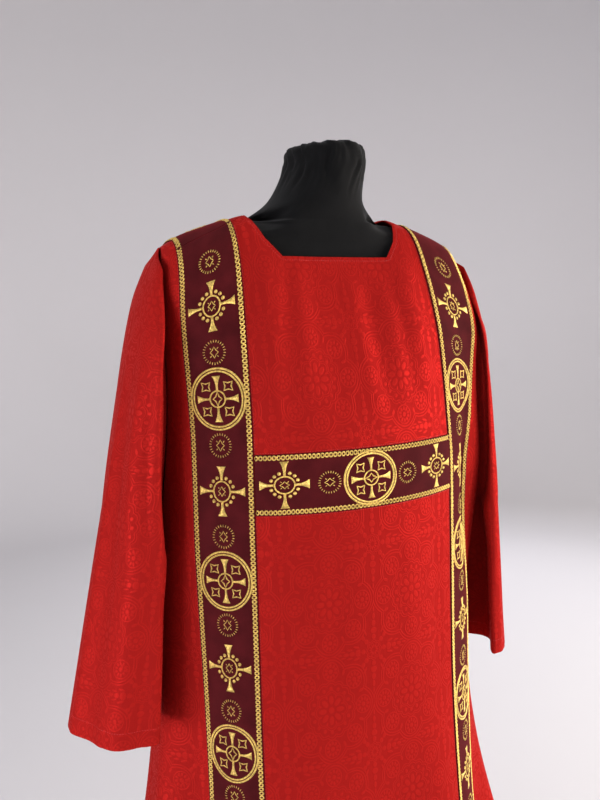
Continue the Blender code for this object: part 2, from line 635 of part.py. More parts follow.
def add_pole(collection):
    """The steel pole from the foot's boss to the form's underside."""
    low = BOSS_HEIGHT + LAY_GAP
    high = SHOULDER_HEIGHT - FORM_UNDERSIDE - LAY_GAP
    mesh = bpy.data.meshes.new("stand_pole")
    bm = bmesh.new()
    bmesh.ops.create_cone(
        bm, cap_ends=True, segments=24, radius1=POLE_RADIUS, radius2=POLE_RADIUS, depth=high - low,
        matrix=Matrix.Translation((0, 0, (low + high) / 2)),
    )
    bm.to_mesh(mesh)
    bm.free()
    obj = add_object("stand_pole", mesh, "black_steel", collection)
    mesh.set_sharp_from_angle(angle=math.radians(40))
    return obj


def add_base(collection):
    """The round foot with its boss, turned from one profile."""
    profile = [
        (0, BOSS_HEIGHT),
        (BOSS_RADIUS * 0.8, BOSS_HEIGHT),
        (BOSS_RADIUS, BOSS_HEIGHT * 0.85),
        (BOSS_RADIUS * 1.15, BASE_THICKNESS * 1.4),
        (BASE_RADIUS - 0.020, BASE_THICKNESS),
        (BASE_RADIUS - 0.003, BASE_THICKNESS * 0.7),
        (BASE_RADIUS, BASE_THICKNESS * 0.35),
        (BASE_RADIUS, 0),
        (0, 0),
    ]
    mesh = bpy.data.meshes.new("stand_base")
    mesh.from_pydata([(r, 0, z) for r, z in profile], [(i, i + 1) for i in range(len(profile) - 1)], [])
    obj = add_object("stand_base", mesh, "black_steel", collection)
    turned = obj.modifiers.new("turned", "SCREW")
    turned.steps = turned.render_steps = 40
    turned.use_merge_vertices = True
    turned.merge_threshold = 0.0001
    turned.use_smooth_shade = False
    return obj


def main():
    """Builds every sub-part."""
    clear_scene()
    for name in MATERIALS:
        make_material(name)
    collection = bpy.data.collections.new("dalmatic_on_dress_form")
    bpy.context.scene.collection.children.link(collection)

    for face in ("front", "back"):
        grid = panel_grid(face)
        add_sheet(f"{face}_panel", grid, "red_damask", collection, flip=face == "back")
        add_bands(face, grid, collection)

    underarm_row = 1 + [row.seam for row in SLEEVE_ROWS].index(UNDERARM_DROP)
    for side, folds, mirror in (("left", LEFT_SLEEVE_FOLDS, 1), ("right", RIGHT_SLEEVE_FOLDS, -1)):
        grid = sleeve_grid(folds, SLEEVE_SWING[side]) * (mirror, 1, 1)
        add_sheet(
            f"sleeve_{side}", grid, "red_damask", collection, flip=mirror < 0, close_below=underarm_row
        )

    add_form(collection)
    add_pole(collection)
    add_base(collection)


main()
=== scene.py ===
"""The looks of a dalmatic worn by a limbless dress form: cloth, embroidery, form and stand.

Metres, +Z up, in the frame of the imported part: the garment's front faces -Y and
+X is the wearer's left. Every cloth piece is bent from the sections below and
keeps its flat cut as a UV map in metres, which its weave and embroidery follow.
"""

from __future__ import annotations

import logging
import math
from collections.abc import Iterable, Sequence
from dataclasses import dataclass, field
from enum import Enum
from typing import NamedTuple

import bmesh
import bpy
import numpy as np
from bpy.types import Collection, Material, Mesh, Node, NodeSocket, NodeTree, Object
from mathutils import Matrix, Vector, noise


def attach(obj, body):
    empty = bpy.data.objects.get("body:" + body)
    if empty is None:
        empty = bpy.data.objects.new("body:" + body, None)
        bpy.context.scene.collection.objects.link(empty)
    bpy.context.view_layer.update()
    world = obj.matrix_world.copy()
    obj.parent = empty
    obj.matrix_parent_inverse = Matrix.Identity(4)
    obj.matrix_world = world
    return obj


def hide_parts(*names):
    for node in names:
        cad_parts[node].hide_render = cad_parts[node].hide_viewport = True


LOG = logging.getLogger("dalmatic")
Pair = tuple[float, float]  # a flat point, or two measures

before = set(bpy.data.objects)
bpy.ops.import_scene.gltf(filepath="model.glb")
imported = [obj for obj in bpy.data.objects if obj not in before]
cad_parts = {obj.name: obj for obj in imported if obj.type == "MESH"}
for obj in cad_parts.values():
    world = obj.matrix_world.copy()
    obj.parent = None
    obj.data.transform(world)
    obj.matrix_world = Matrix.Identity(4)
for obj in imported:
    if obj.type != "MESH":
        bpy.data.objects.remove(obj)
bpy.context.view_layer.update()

MM = 0.001
CUT_MAP = "cut"  # UV map: a piece's own flat cut, in metres
THREAD_MAP = "thread"  # UV map: along and across an embroidered stroke, in metres
FACING = "facing"  # attribute: the way the cloth's face looks


class Face(Enum):
    """The garment's two panels."""

    FRONT = "front"
    BACK = "back"

    @property
    def way(self) -> int:
        """Sign of Y on this side."""
        return -1 if self is Face.FRONT else 1


class Side(Enum):
    """The wearer's two sides."""

    LEFT = "left"
    RIGHT = "right"

    @property
    def way(self) -> int:
        """Sign of X on this side."""
        return 1 if self is Side.LEFT else -1


# ---- sizes in metres
SHOULDER_HEIGHT = 1.480
CLOTH_WALL = 0.0020
BAND_WALL = 0.0012
SEAM_GAP = 0.0009
LAY_GAP = 0.0004
BAND_WIDTH = 0.080
BAND_ROOM = 0.004  # least cloth left between a long band and the panel's edge
CHEST_BAND_TOP = 0.2975
CHEST_BAND_FOOT = 0.3725
UNDERARM_DROP = 0.420
ARMHOLE_HALF_OPENING = 0.035
NECK_END = 0.107
SHOULDER_TIP = 0.215
SHOULDER_SLOPE = 0.33
TIP_ROUNDING = 0.0075
TIP_POWER = 6
NECK_BLEND_DROP = 0.200
EDGE_FADE = 0.030
HEM_EDGE_FADE = 0.050
HEM_EDGE_DROPS = (0.60, 1.00)
HEM_SEAM_ROOM = 0.0006
SLEEVE_SWING = {Side.LEFT: 0.010, Side.RIGHT: 0.072}
SLEEVE_SWING_START = 0.060
SLEEVE_EDGE_FADE = 0.14
SLEEVE_CLEARANCE = 0.012
SLEEVE_CLEARANCE_DROP = 0.080
HEAD_ROOM = 0.0016
HEAD_ROOM_DROPS = (0.05, 0.14)
UNDERARM_ROOM = 0.0010
UNDERARM_ROOM_DROPS = (0.20, 0.37)


class Section(NamedTuple):
    """One level of the body: half-width, depths and squareness, the shoulder's share, clavus edges."""

    drop: float
    width: float
    front: float
    front_square: float
    back: float
    back_square: float
    slope: float
    front_edge: float
    back_edge: float


BODY = [
    Section(0.0000, 0.2150, 0.000, 9.00, 0.000, 9.0, 1.00, 0.130, 0.130),
    Section(0.0006, 0.2153, 0.015, 9.00, 0.016, 9.0, 1.00, 0.130, 0.130),
    Section(0.0050, 0.2165, 0.031, 8.00, 0.038, 8.0, 1.00, 0.131, 0.130),
    Section(0.0160, 0.2185, 0.046, 7.00, 0.066, 7.0, 0.97, 0.132, 0.131),
    Section(0.0350, 0.2210, 0.060, 6.00, 0.084, 5.4, 0.90, 0.133, 0.132),
    Section(0.0550, 0.2230, 0.070, 5.20, 0.094, 4.4, 0.82, 0.134, 0.133),
    Section(0.1000, 0.2250, 0.090, 3.60, 0.109, 3.4, 0.60, 0.137, 0.135),
    Section(0.1500, 0.2260, 0.110, 2.90, 0.117, 2.8, 0.38, 0.140, 0.137),
    Section(0.2000, 0.2270, 0.127, 2.45, 0.121, 2.5, 0.20, 0.142, 0.139),
    Section(0.2700, 0.2290, 0.146, 2.15, 0.124, 2.3, 0.05, 0.145, 0.141),
    Section(0.3320, 0.2320, 0.156, 2.05, 0.122, 2.2, 0.00, 0.148, 0.142),
    Section(0.4200, 0.2350, 0.160, 2.00, 0.119, 2.2, 0.00, 0.149, 0.142),
    Section(0.5200, 0.2390, 0.162, 2.00, 0.121, 2.2, 0.00, 0.149, 0.143),
    Section(0.6400, 0.2460, 0.164, 2.00, 0.130, 2.2, 0.00, 0.149, 0.144),
    Section(0.8000, 0.2640, 0.172, 2.00, 0.146, 2.1, 0.00, 0.149, 0.145),
    Section(1.0000, 0.3060, 0.189, 2.00, 0.168, 2.0, 0.00, 0.149, 0.146),
    Section(1.2400, 0.3720, 0.214, 2.00, 0.2073, 2.0, 0.00, 0.149, 0.147),
]
FRONT_ROWS = [
    0.0, 0.006, 0.016, 0.035, 0.055, 0.078, 0.100, 0.130, 0.165, 0.200, 0.245, 0.2975,
    0.335, 0.3725, 0.420, 0.470, 0.520, 0.580, 0.640, 0.720, 0.800, 0.900, 1.000, 1.120, 1.240,
]


class BackRow(NamedTuple):
    """A row of the back: below the neck's edge, or a share of the way forward over the shoulder."""

    below_neck: float
    forward: float
    drop: float


BACK_ROWS = [
    BackRow(0.000, 1.00, 0.0), BackRow(0.001, 0.45, 0.0), BackRow(0.002, 0.06, 0.0),
    BackRow(0.004, 0.00, 0.0), BackRow(0.006, 0.00, 0.0008), BackRow(0.010, 0.00, 0.0050),
] + [BackRow(drop, 0.0, drop) for drop in FRONT_ROWS[2:]]


class Edge(NamedTuple):
    """A panel's top edge: its drop at a distance from the centre line."""

    across: float
    drop: float


TOP_EDGE = {
    Face.FRONT: [
        Edge(0.000, 0.0575), Edge(0.0745, 0.0575), Edge(0.093, 0.0340), Edge(0.1035, 0.0100),
        Edge(0.107, 0.0004), Edge(0.130, 0.0045), Edge(0.150, 0.0090), Edge(0.240, 0.0180),
    ],
    Face.BACK: [
        Edge(0.000, 0.0180), Edge(0.060, 0.0175), Edge(0.088, 0.0150), Edge(0.1035, 0.0060),
        Edge(0.107, -0.0004), Edge(0.130, -0.0045), Edge(0.150, -0.0090), Edge(0.240, -0.0180),
    ],
}


class Fold(NamedTuple):
    """A soft fold of a panel: where it runs, how wide and high it is, where it starts and ends."""

    across: float
    lean: float
    spread: float
    height: float
    start: float
    full: float
    fade: float = 1.30  # past the hem, as the next one is: such a fold runs out of the garment
    end: float = 1.40


FOLDS = {
    Face.FRONT: [
        Fold(-0.098, 0.10, 0.020, 0.0045, 0.03, 0.08, 0.18, 0.34),
        Fold(-0.062, 0.06, 0.017, 0.0035, 0.04, 0.09, 0.16, 0.28),
        Fold(0.092, 0.05, 0.022, 0.0040, 0.03, 0.09, 0.16, 0.30),
        Fold(0.224, 0.10, 0.028, 0.0260, 0.01, 0.16, 0.34, 0.60),
        Fold(0.215, 0.00, 0.018, -0.0090, 0.27, 0.35, 0.38, 0.56),
        Fold(-0.252, -0.10, 0.026, 0.0050, 0.34, 0.46, 0.62, 0.90),
        Fold(0.020, 0.02, 0.050, -0.0110, 0.50, 1.05),
        Fold(-0.095, 0.02, 0.042, 0.0160, 0.55, 1.10),
        Fold(0.112, 0.02, 0.042, 0.0160, 0.55, 1.10),
        Fold(-0.225, 0.03, 0.042, -0.0170, 0.38, 0.80),
        Fold(0.230, 0.05, 0.042, -0.0190, 0.55, 1.05),
        Fold(-0.310, 0.02, 0.036, 0.0200, 0.60, 1.10),
        Fold(0.316, 0.02, 0.036, 0.0200, 0.60, 1.10),
        Fold(-0.385, 0.02, 0.030, -0.0140, 0.70, 1.15),
        Fold(0.388, 0.02, 0.030, -0.0140, 0.70, 1.15),
    ],
    Face.BACK: [
        Fold(-0.060, 0.02, 0.030, -0.0080, 0.20, 0.60),
        Fold(0.055, 0.02, 0.032, -0.0080, 0.22, 0.60),
        Fold(0.000, 0.00, 0.036, 0.0140, 0.30, 0.95),
        Fold(-0.135, 0.05, 0.038, 0.0160, 0.35, 0.95),
        Fold(0.140, 0.05, 0.038, 0.0160, 0.35, 0.95),
        Fold(-0.235, 0.05, 0.038, -0.0180, 0.50, 1.05),
        Fold(0.230, 0.05, 0.038, -0.0180, 0.50, 1.05),
        Fold(-0.325, 0.03, 0.036, 0.0180, 0.60, 1.10),
        Fold(0.320, 0.03, 0.036, 0.0180, 0.60, 1.10),
    ],
}
# Small creases that lie on the folds above.
CREASES = {
    Face.FRONT: [
        Fold(-0.080, 0.22, 0.006, 0.0012, 0.045, 0.070, 0.10, 0.20),
        Fold(-0.070, 0.12, 0.005, -0.0009, 0.050, 0.080, 0.11, 0.19),
        Fold(-0.092, 0.30, 0.007, 0.0010, 0.040, 0.065, 0.09, 0.18),
        Fold(0.062, 0.03, 0.012, 0.0020, 0.080, 0.140, 0.20, 0.29),
        Fold(0.033, 0.02, 0.013, -0.0022, 0.070, 0.120, 0.18, 0.28),
        Fold(0.010, 0.02, 0.013, 0.0020, 0.070, 0.120, 0.19, 0.29),
        Fold(0.074, 0.05, 0.008, -0.0012, 0.060, 0.110, 0.19, 0.27),
        Fold(0.022, 0.03, 0.012, 0.0012, 0.150, 0.220, 0.26, 0.31),
        Fold(0.100, 0.08, 0.009, 0.0012, 0.100, 0.160, 0.24, 0.30),
        Fold(-0.030, 0.02, 0.014, -0.0010, 0.120, 0.190, 0.24, 0.30),
        Fold(-0.112, 0.05, 0.010, 0.0014, 0.180, 0.250, 0.40, 0.60),
        Fold(-0.054, 0.0, 0.008, 0.0011, 0.270, 0.288, 0.297, 0.2975),
        Fold(-0.012, 0.0, 0.007, 0.0012, 0.274, 0.290, 0.297, 0.2975),
        Fold(0.040, 0.0, 0.008, 0.0012, 0.268, 0.288, 0.297, 0.2975),
        Fold(0.060, 0.02, 0.016, 0.0016, 0.390, 0.440, 0.52, 0.70),
        Fold(0.110, 0.03, 0.014, -0.0014, 0.390, 0.450, 0.55, 0.74),
        Fold(-0.050, 0.02, 0.018, -0.0014, 0.400, 0.470, 0.60, 0.80),
        Fold(0.262, 0.02, 0.008, -0.0016, 0.120, 0.180, 0.26, 0.40),
        Fold(-0.240, 0.05, 0.008, 0.0014, 0.080, 0.140, 0.24, 0.40),
    ],
    Face.BACK: [
        Fold(-0.070, 0.20, 0.007, 0.0012, 0.020, 0.050, 0.09, 0.20),
        Fold(0.075, 0.20, 0.007, 0.0012, 0.020, 0.050, 0.09, 0.18),
        Fold(-0.030, 0.04, 0.012, 0.0012, 0.090, 0.160, 0.22, 0.32),
        Fold(0.036, 0.03, 0.013, -0.0012, 0.100, 0.170, 0.25, 0.36),
        Fold(0.105, 0.05, 0.009, 0.0014, 0.140, 0.210, 0.30, 0.42),
        Fold(-0.110, 0.05, 0.009, -0.0012, 0.140, 0.210, 0.30, 0.45),
        Fold(0.245, 0.03, 0.010, 0.0014, 0.120, 0.200, 0.32, 0.50),
        Fold(-0.245, 0.03, 0.010, 0.0014, 0.120, 0.200, 0.32, 0.50),
    ],
}


class Ring(NamedTuple):
    """One level of a sleeve: its outer line, its middle, half its depth, and how far it wraps in."""

    drop: float
    outer: float
    middle: float
    depth: float
    wrap: float


SLEEVE = [
    Ring(0.044, 0.2200, 0.2180, 0.022, 0.000),
    Ring(0.056, 0.2260, 0.2200, 0.042, 0.000),
    Ring(0.083, 0.2370, 0.2250, 0.062, 0.001),
    Ring(0.108, 0.2455, 0.2290, 0.075, 0.003),
    Ring(0.160, 0.2550, 0.2350, 0.087, 0.005),
    Ring(0.235, 0.2650, 0.2410, 0.093, 0.007),
    Ring(0.350, 0.2800, 0.2490, 0.095, 0.009),
    Ring(0.440, 0.2920, 0.2560, 0.094, 0.012),
    Ring(0.655, 0.3200, 0.2690, 0.092, 0.018),
]


class SleeveRow(NamedTuple):
    """A row of a sleeve: its drop at the outer line and at the seam."""

    outer: float
    seam: float


SLEEVE_ROWS = [
    SleeveRow(0.060, 0.078), SleeveRow(0.082, 0.100), SleeveRow(0.112, 0.130), SleeveRow(0.152, 0.165),
    SleeveRow(0.194, 0.200), SleeveRow(0.243, 0.245),
] + [SleeveRow(drop, drop) for drop in (0.2975, 0.335, 0.3725, 0.420, 0.470, 0.520, 0.585, 0.655)]
SLEEVE_TOP_SEAM = [0.0, 0.0006, 0.005, 0.018, 0.035, 0.055]


class SleeveFold(NamedTuple):
    """A fold of a sleeve: its share of the way from the outer line to the seam, - at the front."""

    around: float
    spread: float
    height: float
    start: float
    full: float


SLEEVE_FOLDS = {
    Side.RIGHT: [
        SleeveFold(-0.20, 0.085, -0.0060, 0.14, 0.36),
        SleeveFold(-0.40, 0.075, 0.0060, 0.12, 0.30),
        SleeveFold(0.18, 0.100, -0.0070, 0.18, 0.40),
        SleeveFold(0.44, 0.090, 0.0060, 0.20, 0.40),
        SleeveFold(0.66, 0.080, -0.0050, 0.25, 0.50),
    ],
    Side.LEFT: [
        SleeveFold(-0.80, 0.130, -0.0220, 0.03, 0.14),
        SleeveFold(-0.26, 0.090, -0.0050, 0.18, 0.40),
        SleeveFold(0.20, 0.100, -0.0070, 0.16, 0.40),
        SleeveFold(0.46, 0.090, 0.0060, 0.20, 0.42),
        SleeveFold(0.68, 0.080, -0.0050, 0.25, 0.50),
    ],
}
SLEEVE_CREASES = {
    Side.RIGHT: [
        SleeveFold(-0.62, 0.030, 0.0022, 0.10, 0.24),
        SleeveFold(-0.52, 0.026, -0.0018, 0.12, 0.26),
        SleeveFold(-0.30, 0.024, 0.0016, 0.16, 0.30),
        SleeveFold(-0.08, 0.030, 0.0018, 0.14, 0.34),
        SleeveFold(0.06, 0.026, -0.0014, 0.20, 0.36),
        SleeveFold(0.31, 0.030, 0.0018, 0.18, 0.36),
        SleeveFold(0.55, 0.028, -0.0016, 0.22, 0.40),
    ],
    Side.LEFT: [
        SleeveFold(-0.50, 0.030, 0.0018, 0.14, 0.28),
        SleeveFold(-0.38, 0.024, -0.0014, 0.16, 0.30),
        SleeveFold(-0.12, 0.030, 0.0018, 0.12, 0.30),
        SleeveFold(0.05, 0.026, -0.0014, 0.18, 0.34),
        SleeveFold(0.33, 0.030, 0.0018, 0.18, 0.36),
        SleeveFold(0.57, 0.028, -0.0016, 0.22, 0.42),
    ],
}


# ---- interpolation
def smooth(table: Sequence[NamedTuple], column: str, at: np.ndarray) -> np.ndarray:
    """Reads a table on a curve with no overshoot.

    Args:
        table: rows whose first field rises.
        column: the field to read.
        at: values of the first field.

    Returns:
        The column's values there.
    """
    xs = np.array([row[0] for row in table])
    ys = np.array([getattr(row, column) for row in table])
    steps = np.diff(ys) / np.diff(xs)
    slopes = np.zeros(len(xs))
    slopes[0], slopes[-1] = steps[0], steps[-1]
    same_way = steps[:-1] * steps[1:] > 0
    slopes[1:-1][same_way] = 2 / (1 / steps[:-1][same_way] + 1 / steps[1:][same_way])
    at = np.clip(at, xs[0], xs[-1])
    i = np.clip(np.searchsorted(xs, at, side="right") - 1, 0, len(xs) - 2)
    span = xs[i + 1] - xs[i]
    t = (at - xs[i]) / span
    return (
        (1 + 2 * t) * (1 - t) ** 2 * ys[i]
        + t * (1 - t) ** 2 * span * slopes[i]
        + t * t * (3 - 2 * t) * ys[i + 1]
        + t * t * (t - 1) * span * slopes[i + 1]
    )


def ease(low: float, high: float, value: np.ndarray) -> np.ndarray:
    """0 below low, 1 above high, and a smooth step between."""
    t = np.clip((value - low) / (high - low), 0.0, 1.0)
    return t * t * (3 - 2 * t)


def refined(values: Sequence[float], lengths: Sequence[float], step: float) -> np.ndarray:
    """Adds even steps between values.

    Args:
        values: what is kept.
        lengths: where each value lies along the cloth, in metres.
        step: the longest step to leave.

    Returns:
        The values with new ones between them.
    """
    parts = [
        np.linspace(a, b, max(math.ceil(abs(q - p) / step), 1), endpoint=False)
        for a, b, p, q in zip(values, values[1:], lengths, lengths[1:])
    ]
    return np.concatenate([*parts, [values[-1]]])


def ridge(across: np.ndarray) -> np.ndarray:
    """Height of the shoulder line against its neck end."""
    run = np.clip(np.abs(across) - NECK_END, 0, None)
    return -(SHOULDER_SLOPE * run + TIP_ROUNDING * (run / (SHOULDER_TIP - NECK_END)) ** TIP_POWER)


def run_along(points: np.ndarray) -> np.ndarray:
    """Length along a line of points, from its first one."""
    return np.concatenate([[0], np.cumsum(np.linalg.norm(np.diff(points, axis=0), axis=1))])


def spaced(points: np.ndarray, shares: np.ndarray) -> np.ndarray:
    """Points at shares of a line's length."""
    run = run_along(points)
    return np.stack([np.interp(shares * run[-1], run, points[:, k]) for k in range(3)], axis=-1)


# ---- the body
class Body:
    """The garment's outline round the body, looked up by drop and by distance along the cloth."""

    LEVELS = 460  # samples down the body
    SHARES = 200  # samples along each level
    TURNS = 160  # points of a level's curve before it is spaced evenly

    def __init__(self) -> None:
        """Samples every level of both faces once."""
        self.drops = BODY[-1].drop * np.linspace(0, 1, self.LEVELS) ** 2
        self.points: dict[Face, np.ndarray] = {}
        self.lengths: dict[Face, np.ndarray] = {}
        self.ends: dict[Face, np.ndarray] = {}
        off_plane = self.half_opening(self.drops)
        for face in Face:
            width, depth, square, slope = (
                smooth(BODY, name, self.drops)[:, None]
                for name in ("width", face.value, face.value + "_square", "slope")
            )
            turn = np.linspace(0, math.pi / 2, self.TURNS)[None, :]
            across = width * np.sin(turn) ** (2 / square)
            away = depth * np.cos(turn) ** (2 / square)
            height = -self.drops[:, None] + slope * ridge(across)
            levels = np.stack([across, away, height], axis=2)
            shares = np.linspace(0, 1, self.SHARES)
            self.points[face] = np.array([spaced(level, shares) for level in levels])
            self.lengths[face] = np.array([run_along(level)[-1] for level in levels])
            self.ends[face] = np.array([self.edge_run(*pair) for pair in zip(levels, off_plane)])

    @staticmethod
    def edge_run(level: np.ndarray, off: float) -> float:
        """Length along a level to the panel's edge, which stands off the side plane."""
        run = run_along(level)
        return run[-1] if level[0, 1] <= off else np.interp(-off, -level[:, 1], run)

    @staticmethod
    def half_opening(drop: np.ndarray) -> np.ndarray:
        """How far a panel's edge stands off the side plane: the armhole, then the side seam.

        Args:
            drop: how far below the shoulder.

        Returns:
            The distances.
        """
        share = np.clip(drop / UNDERARM_DROP, 0, 1)
        gap = SEAM_GAP / 2 + HEM_SEAM_ROOM * ease(*HEM_EDGE_DROPS, drop)
        return gap + ARMHOLE_HALF_OPENING * np.sqrt(np.clip(np.sin(math.pi * share), 0, None))

    def end(self, drop: np.ndarray, face: Face) -> np.ndarray:
        """Distance from the centre line to the panel's edge, along the cloth."""
        return np.interp(drop, self.drops, self.ends[face])

    def across(self, drop: np.ndarray, face: Face, column: np.ndarray) -> np.ndarray:
        """A column's distance from the centre line, along the cloth.

        Args:
            drop: how far below the shoulder.
            face: front or back.
            column: 1 and 2 are the clavus's edges, 3 is the panel's edge.

        Returns:
            The distance.
        """
        inner = smooth(BODY, face.value + "_edge", drop)
        end = self.end(drop, face)
        outer = np.minimum(inner + BAND_WIDTH, end - BAND_ROOM)
        band = inner + (column - 1) * (outer - inner)
        side = outer + (column - 2) * (end - outer)
        return np.where(column < 1, column * inner, np.where(column < 2, band, side))

    def place(self, drop: np.ndarray, face: Face, distance: np.ndarray) -> np.ndarray:
        """Points of the wearer's left half, with Y counted outward from the side plane.

        Args:
            drop: how far below the shoulder.
            face: front or back.
            distance: from the centre line, along the cloth.

        Returns:
            An array of points with one more axis than drop.
        """
        level = np.interp(drop, self.drops, np.arange(self.LEVELS))
        i = np.clip(level.astype(int), 0, self.LEVELS - 2)
        length = np.interp(level, np.arange(self.LEVELS), self.lengths[face])
        share = np.clip(distance / length, 0, 1) * (self.SHARES - 1)
        j = np.clip(share.astype(int), 0, self.SHARES - 2)
        s, t = (level - i)[..., None], (share - j)[..., None]
        table = self.points[face]
        near = table[i, j] * (1 - t) + table[i, j + 1] * t
        far = table[i + 1, j] * (1 - t) + table[i + 1, j + 1] * t
        return near * (1 - s) + far * s


BODY_SHAPE = Body()


def facing_of(points: np.ndarray) -> np.ndarray:
    """Unit normals of a grid, outward where rows run down and columns to the wearer's left in front."""
    normal = np.cross(np.gradient(points, axis=0), np.gradient(points, axis=1))
    return normal / np.maximum(np.linalg.norm(normal, axis=2, keepdims=True), 1e-12)


# ---- cloth as grids
@dataclass
class Cloth:
    """A grid of points of a cloth piece's face, with its flat cut.

    Attributes:
        points: places by row and column; rows run down.
        cut: the flat cut's two coordinates, in metres.
        turned: True where the columns run the other way round, seen from outside.
    """

    points: np.ndarray
    cut: np.ndarray
    turned: bool = False

    SEAM_MERGE = 1e-6

    def facing(self) -> np.ndarray:
        """Outward unit normals."""
        return facing_of(self.points) * (-1 if self.turned else 1)

    def raised(self, height: np.ndarray | float) -> Cloth:
        """The same piece moved outward by a height."""
        height = np.broadcast_to(height, self.points.shape[:2])
        return Cloth(self.points + self.facing() * height[:, :, None], self.cut, self.turned)

    def flat(self) -> Pair:
        """The rectangle that the cut needs: its longest row by its longest column.

        Returns:
            Its sides in metres.
        """
        both = (self.points, self.points.transpose(1, 0, 2))
        across, down = (max(run_along(line)[-1] for line in lines) for lines in both)
        return round(float(across), 3), round(float(down), 3)

    def mesh(self, name: str, joined_from: int | None = None) -> Mesh:
        """Makes the sheet's mesh.

        Args:
            name: the mesh's name.
            joined_from: the first row whose two ends are one line, as in a tube.

        Returns:
            A mesh with the cut as its UV map.
        """
        rows, columns = self.points.shape[:2]
        places = self.points.reshape(-1, 3) + (0, 0, SHOULDER_HEIGHT)
        index = np.arange(rows * columns).reshape(rows, columns)
        if joined_from is not None:
            places[index[joined_from:, -1]] = places[index[joined_from:, 0]]
        corners = np.stack([index[:-1, :-1], index[1:, :-1], index[1:, 1:], index[:-1, 1:]], axis=2)
        corners = corners.reshape(-1, 4)
        if self.turned:
            corners = corners[:, ::-1]
        mesh = bpy.data.meshes.new(name)
        mesh.from_pydata(places.tolist(), [], corners.tolist())
        layer = mesh.uv_layers.new(name=CUT_MAP)
        layer.data.foreach_set("uv", self.cut.reshape(-1, 2)[corners.ravel()].ravel())
        facing = mesh.attributes.new(FACING, "FLOAT_VECTOR", "POINT")
        facing.data.foreach_set("vector", self.facing().reshape(-1, 3).ravel())
        if joined_from is not None:
            bm = bmesh.new()
            bm.from_mesh(mesh)
            bm.verts.ensure_lookup_table()
            seam = [bm.verts[k] for k in index[joined_from:, [0, -1]].ravel()]
            bmesh.ops.remove_doubles(bm, verts=seam, dist=self.SEAM_MERGE)
            bm.to_mesh(mesh)
            bm.free()
        mesh.shade_smooth()
        return mesh


